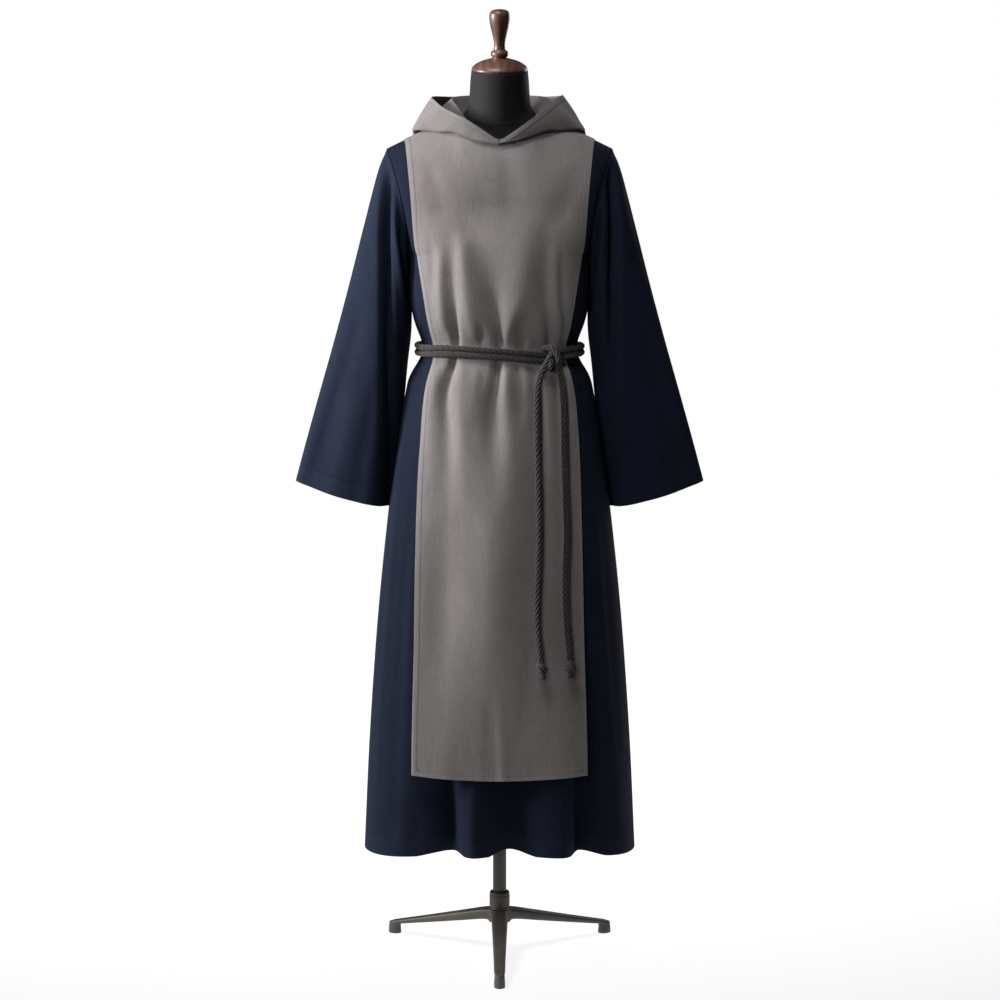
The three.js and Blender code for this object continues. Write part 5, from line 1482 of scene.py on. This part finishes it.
# The coil swells early and keeps its width. Its core runs from above it to below it, in mm down.
COIL = dict(points=90, early=1.15, full=1.1, tilt_turn=0.7)
CORE = (-3, 21, 14)
# The tail's points as mm down, to the side and back, and its step.
TAIL = [(14, 2, 0), (20, 1.2, -1.5), (26.5, -0.6, 0)]
TAIL_STEP = 1.4
FIBRES = dict(count=46, reach=3.7, sunk=1.2, length=(2.0, 4.6), splay=(-0.6, 1.8), thick=(0.16, 0.32))


def stopper_knot(route, lean):
    """A small stopper knot: the rope turned twice round its own end, and a short frayed tail."""
    down = unit(route[-1] - route[-3])
    side = unit(np.cross(down, [0, 1, 0]))
    back = np.cross(side, down)
    tip = route[-1] - back * STOPPER["back"]
    t = np.linspace(0, 1, COIL["points"])
    turn = 2 * math.pi * STOPPER["turns"] * t + lean
    swell = np.sin(math.pi * np.clip(t * COIL["early"], 0, 1)) ** 0.5
    reach = STOPPER["reach"] * np.clip(swell * COIL["full"], 0, 1)
    drop = STOPPER["start"] + STOPPER["height"] * t + STOPPER["tilt"] * np.sin(turn + COIL["tilt_turn"])
    coil = tip + side * (np.cos(turn) * reach)[:, None] + back * (np.sin(turn) * reach)[:, None]
    coil = coil + down * drop[:, None]
    core = tip + down * np.linspace(*CORE)[:, None]
    tail = smooth_route([tip + down * a + side * b + back * c for a, b, c in TAIL], TAIL_STEP)
    return list(zip((coil, core, tail), STOPPER["radii"])), down


def frayed(tip, down, seed):
    """Loose fibres of the cut end."""
    random = np.random.RandomState(seed)
    fibres = []
    for _ in range(FIBRES["count"]):
        angle = random.uniform(0, 2 * math.pi)
        reach = FIBRES["reach"] * math.sqrt(random.uniform(0, 1))
        side = np.array([math.cos(angle), math.sin(angle), 0.0])
        start = tip + side * reach - down * FIBRES["sunk"]
        end = start + down * random.uniform(*FIBRES["length"]) + side * random.uniform(*FIBRES["splay"])
        fibres.append((start, end, random.uniform(*FIBRES["thick"])))
    return fibres


for key, points, lean, seed in (("left", LEFT_END, 0.4, 11), ("right", RIGHT_END, 2.3, 23)):
    route = smooth_route(points, ROPE_STEP)
    end = ropes(f"rope_end_{key}", [(route, ROPE_RADIUS * END_SWELL)], LAY)
    dress(end, rope_look, "charcoal_rope", f"belt_end_{key}")
    turns, down = stopper_knot(route, lean)
    knot = ropes(f"rope_end_knot_{key}", turns, fibres=frayed(turns[-1][0][-1], down, seed))
    dress(knot, rope_look, "charcoal_rope", f"belt_end_knot_{key}")

# ---------------------------------------------------------------- the belt round the waist and its knot
WRAP_POINTS = 720
WRAP_EVEN = 25
# The turns waver a little: height in mm, waves round the waist, and how the two turns differ.
WRAP_WAVES = ((0.5, 3, 1), (0.3, 7, 2))
WRAP_TURN_STEP = 0.01


def wrap_route(drop, wobble):
    """One turn of the belt in the bitten cloth, a drop in mm above the belt's line or, negative, below it."""
    rounds = np.linspace(0, 2 * math.pi, WRAP_POINTS, endpoint=False)
    angle = np.arctan2(np.sin(rounds), np.abs(np.cos(rounds)))
    lift = 2 * SEAM_GAP + CLOTH + 4 * REST_GAP + ROPE_RADIUS - BELT["bite"]
    halves = []
    for face in (FRONT, BACK):
        p = section_point(face, angle, BELT["z"])
        turns = (WRAP_TURN_STEP, -WRAP_TURN_STEP)
        ahead, behind = (section_point(face, angle + turn, BELT["z"]) for turn in turns)
        beside = ahead - behind
        halves.append(p + unit(stack(-face * beside[:, 1], face * beside[:, 0], 0 * angle)) * lift)
    p = np.where((np.cos(rounds) >= 0)[:, None], *halves)
    for high, waves, shift in WRAP_WAVES:
        drop = drop + high * np.sin(rounds * waves + shift * wobble)
    p[:, 2] += drop
    kernel = np.hanning(WRAP_EVEN)
    kernel /= kernel.sum()
    wide = np.pad(p, ((WRAP_EVEN // 2,) * 2, (0, 0)), "wrap")
    p = np.stack([np.convolve(wide[:, k], kernel, "valid") for k in range(3)], -1)
    return even_steps(np.concatenate([p, p[:1]]), ROPE_STEP, closed=True)


for key, drop, wobble in (("upper", BELT["pitch"] / 2, 0.3), ("lower", -BELT["pitch"] / 2, 1.1)):
    wrap = ropes(f"rope_wrap_{key}", [(wrap_route(drop, wobble), ROPE_RADIUS)], closed=True)
    dress(wrap, rope_look, "charcoal_rope", f"belt_wrap_{key}")

# The knot's ropes: points, step and radius.
KNOT = [(KNOT_ARCH, 1.8, ROPE_RADIUS), (KNOT_TURN, 1.8, ROPE_RADIUS), (KNOT_STUB, 1.6, 5.0)]
knot = ropes("rope_knot", [(smooth_route(points, step), radius) for points, step, radius in KNOT])
dress(knot, rope_look, "charcoal_rope", "belt_knot")

# ---------------------------------------------------------------- the cloth
grey = cloth_finish(
    "warm_grey_wool", (0.75, 0.73, 0.73), (0.146, 0.1307, 0.128), (0.268, 0.2447, 0.2434),
    slub=0.95, hem_width=0.0105, sheen=0.12, shine=0.2,
)
navy = cloth_finish(
    "navy_wool", (0.28, 0.34, 0.55), (0.0048, 0.0070, 0.0148), (0.0140, 0.0188, 0.0360),
    slub=0.8, hem_width=0.034, sheen=0.03, shine=0.07,
)
# The share of a panel's rows that curve round the neck; its width is measured below them.
NECK_ROWS = 0.35
SPARE_SHARE = 0.4
FILLED_SHARE = 0.7


def hang(obj, grid, finish, slot, node, above=0.0):
    dress(obj, finish, slot, node)
    flat, area = cut_of(grid, above)
    if area < SPARE_SHARE * flat[0] * flat[1]:
        # A hood half is far from a rectangle, so its flat width is one that its cloth fills by a set share.
        flat = (area / FILLED_SHARE / flat[1], flat[1])


for face, word in ((FRONT, "front"), (BACK, "back")):
    outer = tunic_grid(face, 0)
    seams = ("left", "right", "high")
    panel = shell(f"tunic_{word}_cloth", outer, tunic_grid(face, CLOTH), hems=("low",), seams=seams)
    hang(panel, outer, navy, "navy_cloth", f"tunic_{word}", NECK_ROWS)
    outer = scapular_grid(face, CLOTH)
    hems = ("left", "right", "low")
    panel = shell(f"scapular_{word}_cloth", outer, scapular_grid(face, 0), hems=hems, seams=("high",))
    hang(panel, outer, grey, "grey_cloth", f"scapular_{word}", NECK_ROWS)

for side, word in ((-1, "left"), (1, "right")):
    outer, inner = sleeve_grids(side)
    seams = ("high", SLEEVE_COLUMNS // 2)
    sleeve = shell(f"sleeve_{word}_cloth", outer, inner, closed=True, hems=("low",), seams=seams)
    hang(sleeve, outer, navy, "navy_cloth", f"sleeve_{word}")
    outer, inner = hood_grids(side)
    hood = shell(f"hood_{word}_cloth", outer, inner, hems=("right",), seams=("left", "high", "low"))
    hang(hood, outer, grey, "grey_cloth", f"hood_{word}")

# ---------------------------------------------------------------- the dress form and its stand
dress(new_object("form_torso_cover", *form_torso()), cover_finish(), "black_cover", "form_torso")

wood = wood_finish()
metal = metal_finish()


def turned(name, profile, sides, finish, slot, node, tilt=0.0, at=(0, 0, 0)):
    points, lists = lathe(profile, sides)
    c, s = math.cos(tilt), math.sin(tilt)
    x, y, z = points.T
    points = stack(x, y * c - z * s, y * s + z * c) + np.array(at)
    return dress(new_object(name, points, lists), finish, slot, node)


def fine_profile(profile, per):
    rows = np.asarray(profile, float)[:, None, :]
    at = np.linspace(0, len(rows) - 1, per * (len(rows) - 1) + 1)
    fine = through(rows, at)[:, 0]
    fine[:, 0] = np.maximum(fine[:, 0], 0)
    return fine


def collar_profile():
    """The collar's outline: a groove near each end, and a sloping top edge."""
    out, deep = COLLAR["radius"], COLLAR["radius"] - COLLAR["deep"]
    low, top, rim, groove = COLLAR["low"], COLLAR["top"], COLLAR["rim"], COLLAR["groove"]
    steps = [low, low + rim, low + rim + groove, top - rim - groove, top - rim, top]
    radii = [0, out, out, deep, deep, out, out, deep, deep, out, deep, 0]
    return list(zip(radii, np.repeat(steps, 2)))


# The cap's rim keeps its corners; the turned part above it is a smooth curve.
CAP_RIM = 5
cap_curve = np.concatenate([CAP_PROFILE[:CAP_RIM + 1], fine_profile(CAP_PROFILE[CAP_RIM:], 4)[1:]])
turned(
    "wooden_neck_cap", cap_curve, SIDES["cap"], wood, "walnut", "neck_cap",
    math.radians(NECK_TOP["lean"]), (0, NECK_TOP["y"], NECK_TOP["z"] + SEAM_GAP),
)
pole_radii = (0, POLE["radius"], POLE["radius"], 0)
pole_profile = list(zip(pole_radii, np.repeat([POLE["low"], FORM_BOTTOM - SEAM_GAP], 2)))
turned("stand_pole", rounded(pole_profile, radius=0.8), SIDES["pole"], metal, "bronze_grey", "pole")
turned(
    "stand_collar", rounded(collar_profile(), radius=0.7), SIDES["collar"],
    metal, "bronze_grey", "base_collar",
)


def base_leg(along, beside):
    """A tapering leg with a rounded box section, as points and faces."""
    reach = np.linspace(LEG_STATIONS[0][0], LEG_STATIONS[-1][0], LEG_ROWS)
    half, top_z, low_z = (column(LEG_STATIONS, k)(reach) for k in (1, 2, 3))
    ring = []
    for a in np.linspace(0, 2 * math.pi, SIDES["leg"], endpoint=False):
        w = np.sign(math.cos(a)) * abs(math.cos(a)) ** 0.5
        t = np.sign(math.sin(a)) * abs(math.sin(a)) ** 0.5
        z = (top_z + low_z) / 2 + (top_z - low_z) / 2 * t
        ring.append(along * reach[:, None] + beside * (half * w)[:, None] + UP * z[:, None])
    grid = np.stack(ring, 1)
    count = grid.shape[1]
    lists = grid_faces(len(grid), count, 0, True).tolist()
    ends = [list(range(count)), list(range((len(grid) - 1) * count, len(grid) * count))[::-1]]
    return grid.reshape(-1, 3), lists + ends


def base_foot(along, beside):
    """An oval pad that narrows a little upward."""
    half, top = FOOT["half_length"], FOOT["top"]
    points, lists = lathe([(0, 0), (half, 0), (half - FOOT["taper"], top), (0, top)], SIDES["foot"])
    across = points[:, 1:2] * FOOT["half_width"] / half
    return along * (points[:, :1] + FOOT["reach"]) + beside * across + UP * points[:, 2:], lists


def cast_base():
    """The hub, legs and feet, melted into one casting with soft fillets."""
    low, top, radius = HUB["low"], HUB["top"], HUB["radius"]
    parts = [lathe([(0, low), (radius, low), (radius, top), (0, top)], SIDES["hub"])]
    for heading in HEADINGS:
        h = math.radians(heading)
        along, beside = np.array([math.cos(h), math.sin(h), 0]), np.array([-math.sin(h), math.cos(h), 0])
        parts += [base_leg(along, beside), base_foot(along, beside)]
    lists, total = [], 0
    for points, rows in parts:
        lists += [[i + total for i in row] for row in rows]
        total += len(points)
    base = new_object("stand_base", np.concatenate([points for points, _ in parts]), lists)
    remesh = base.modifiers.new("melt", "REMESH")
    remesh.mode = "VOXEL"
    remesh.voxel_size = MELT["voxel"]
    smooth = base.modifiers.new("fillet", "SMOOTH")
    smooth.factor = MELT["factor"]
    smooth.iterations = MELT["passes"]
    base.data = bpy.data.meshes.new_from_object(base.evaluated_get(bpy.context.evaluated_depsgraph_get()))
    base.modifiers.clear()
    co = np.empty(len(base.data.vertices) * 3, np.float32)
    base.data.vertices.foreach_get("co", co)
    z = co[2::3]
    # The feet stand flat on the ground.
    z[z < MELT["flat_below"]] = 0
    base.data.vertices.foreach_set("co", co)
    base.data.polygons.foreach_set("use_smooth", [True] * len(base.data.polygons))
    base.data.update()
    return base


dress(cast_base(), metal, "bronze_grey", "base_legs")


# ---------------------------------------------------------------- the studio
FLOOR = dict(half_width=2400, front=-500, back=3000)


def studio():
    """A plain pale floor."""
    half, front, back = FLOOR["half_width"], FLOOR["front"], FLOOR["back"]
    corners = [(-half, front, 0), (half, front, 0), (half, back, 0), (-half, back, 0)]
    made = new_object("studio_floor", corners, [[0, 1, 2, 3]])
    made.data.materials.append(floor_finish())
    return made


def linked(name, pieces, state="INCLUDE"):
    """A collection that names the pieces a light falls on or is blocked by, or those it leaves out."""
    group = bpy.data.collections.new(name)
    for i, piece in enumerate(pieces):
        group.objects.link(piece)
        group.collection_objects[i].light_linking.link_state = state
    return group


def soft_light(name, location, target, size, watts, falls_on, spread=180, blocked_by=None):
    data = bpy.data.lights.new(name, "AREA")
    data.shape = "RECTANGLE"
    data.size, data.size_y = size
    data.energy = watts
    data.spread = math.radians(spread)
    light = bpy.data.objects.new(name, data)
    light.location = location
    light.rotation_euler = (Vector(target) - Vector(location)).to_track_quat("-Z", "Y").to_euler()
    light.light_linking.receiver_collection = falls_on
    if blocked_by:
        light.light_linking.blocker_collection = blocked_by
    bpy.context.scene.collection.objects.link(light)


# The share of their white that the surroundings give as light.
GIVEN_LIGHT = 0.02


def surroundings():
    """They look white and give little light."""
    world = bpy.data.worlds.new("studio_world")
    world.use_nodes = True
    tree = world.node_tree
    sky = tree.nodes["Background"]
    sky.inputs[0].default_value = (1, 1, 1, 1)
    seen = tree.nodes.new("ShaderNodeLightPath").outputs["Is Camera Ray"]
    level = tree.nodes.new("ShaderNodeMapRange")
    level.inputs[3].default_value, level.inputs[4].default_value = GIVEN_LIGHT, 1.0
    tree.links.new(seen, level.inputs[0])
    tree.links.new(level.outputs[0], sky.inputs[1])
    bpy.context.scene.world = world


floor = studio()
base, *high_up = (bpy.data.objects[name] for name in (
    "stand_base", "hood_left_cloth", "hood_right_cloth", "form_torso_cover", "wooden_neck_cap",
))
floor_only = linked("floor_only", [floor])
all_but_floor = linked("all_but_floor", [floor], "EXCLUDE")
left_sleeve = linked("left_sleeve", [bpy.data.objects["sleeve_left_cloth"]])
low_cloth = linked("all_but_floor_and_hood", [floor, *high_up], "EXCLUDE")
base_only = linked("base_only", [base])
floor_and_base = linked("floor_and_base", [floor, base])
soft_light("key", (-3.25, -0.46, 1.95), (0, 0, 1.47), (1.0, 1.5), 63, all_but_floor, 94)
soft_light("top", (-0.7, -1.3, 4.4), (0, 0, 1.2), (1.2, 1.2), 62, all_but_floor)
soft_light("behind", (1.9, 2.9, 1.9), (0, 0, 1.0), (1.2, 1.8), 30, all_but_floor)
soft_light("beside", (-2.9, -1.3, 1.25), (-0.29, 0, 1.0), (0.5, 0.9), 11, left_sleeve, 60)
soft_light("front", (-0.9, -3.4, 2.0), (0, 0, 1.6), (1.0, 0.8), 3.6, low_cloth, 52)
soft_light("wash", (0, 2.0, 5.5), (0, 2.4, 0.0), (5.0, 3.0), 455, floor_only, blocked_by=floor_only)
soft_light("low", (-0.6, -1.5, 1.9), (0, 0, 0.05), (1.2, 1.2), 9, base_only, blocked_by=base_only)
soft_light("shade", (-1.2, -0.4, 3.0), (0, 0, 0.0), (0.9, 0.9), 14, floor_only, blocked_by=floor_and_base)
surroundings()
bpy.context.scene.view_settings.view_transform = "Standard"
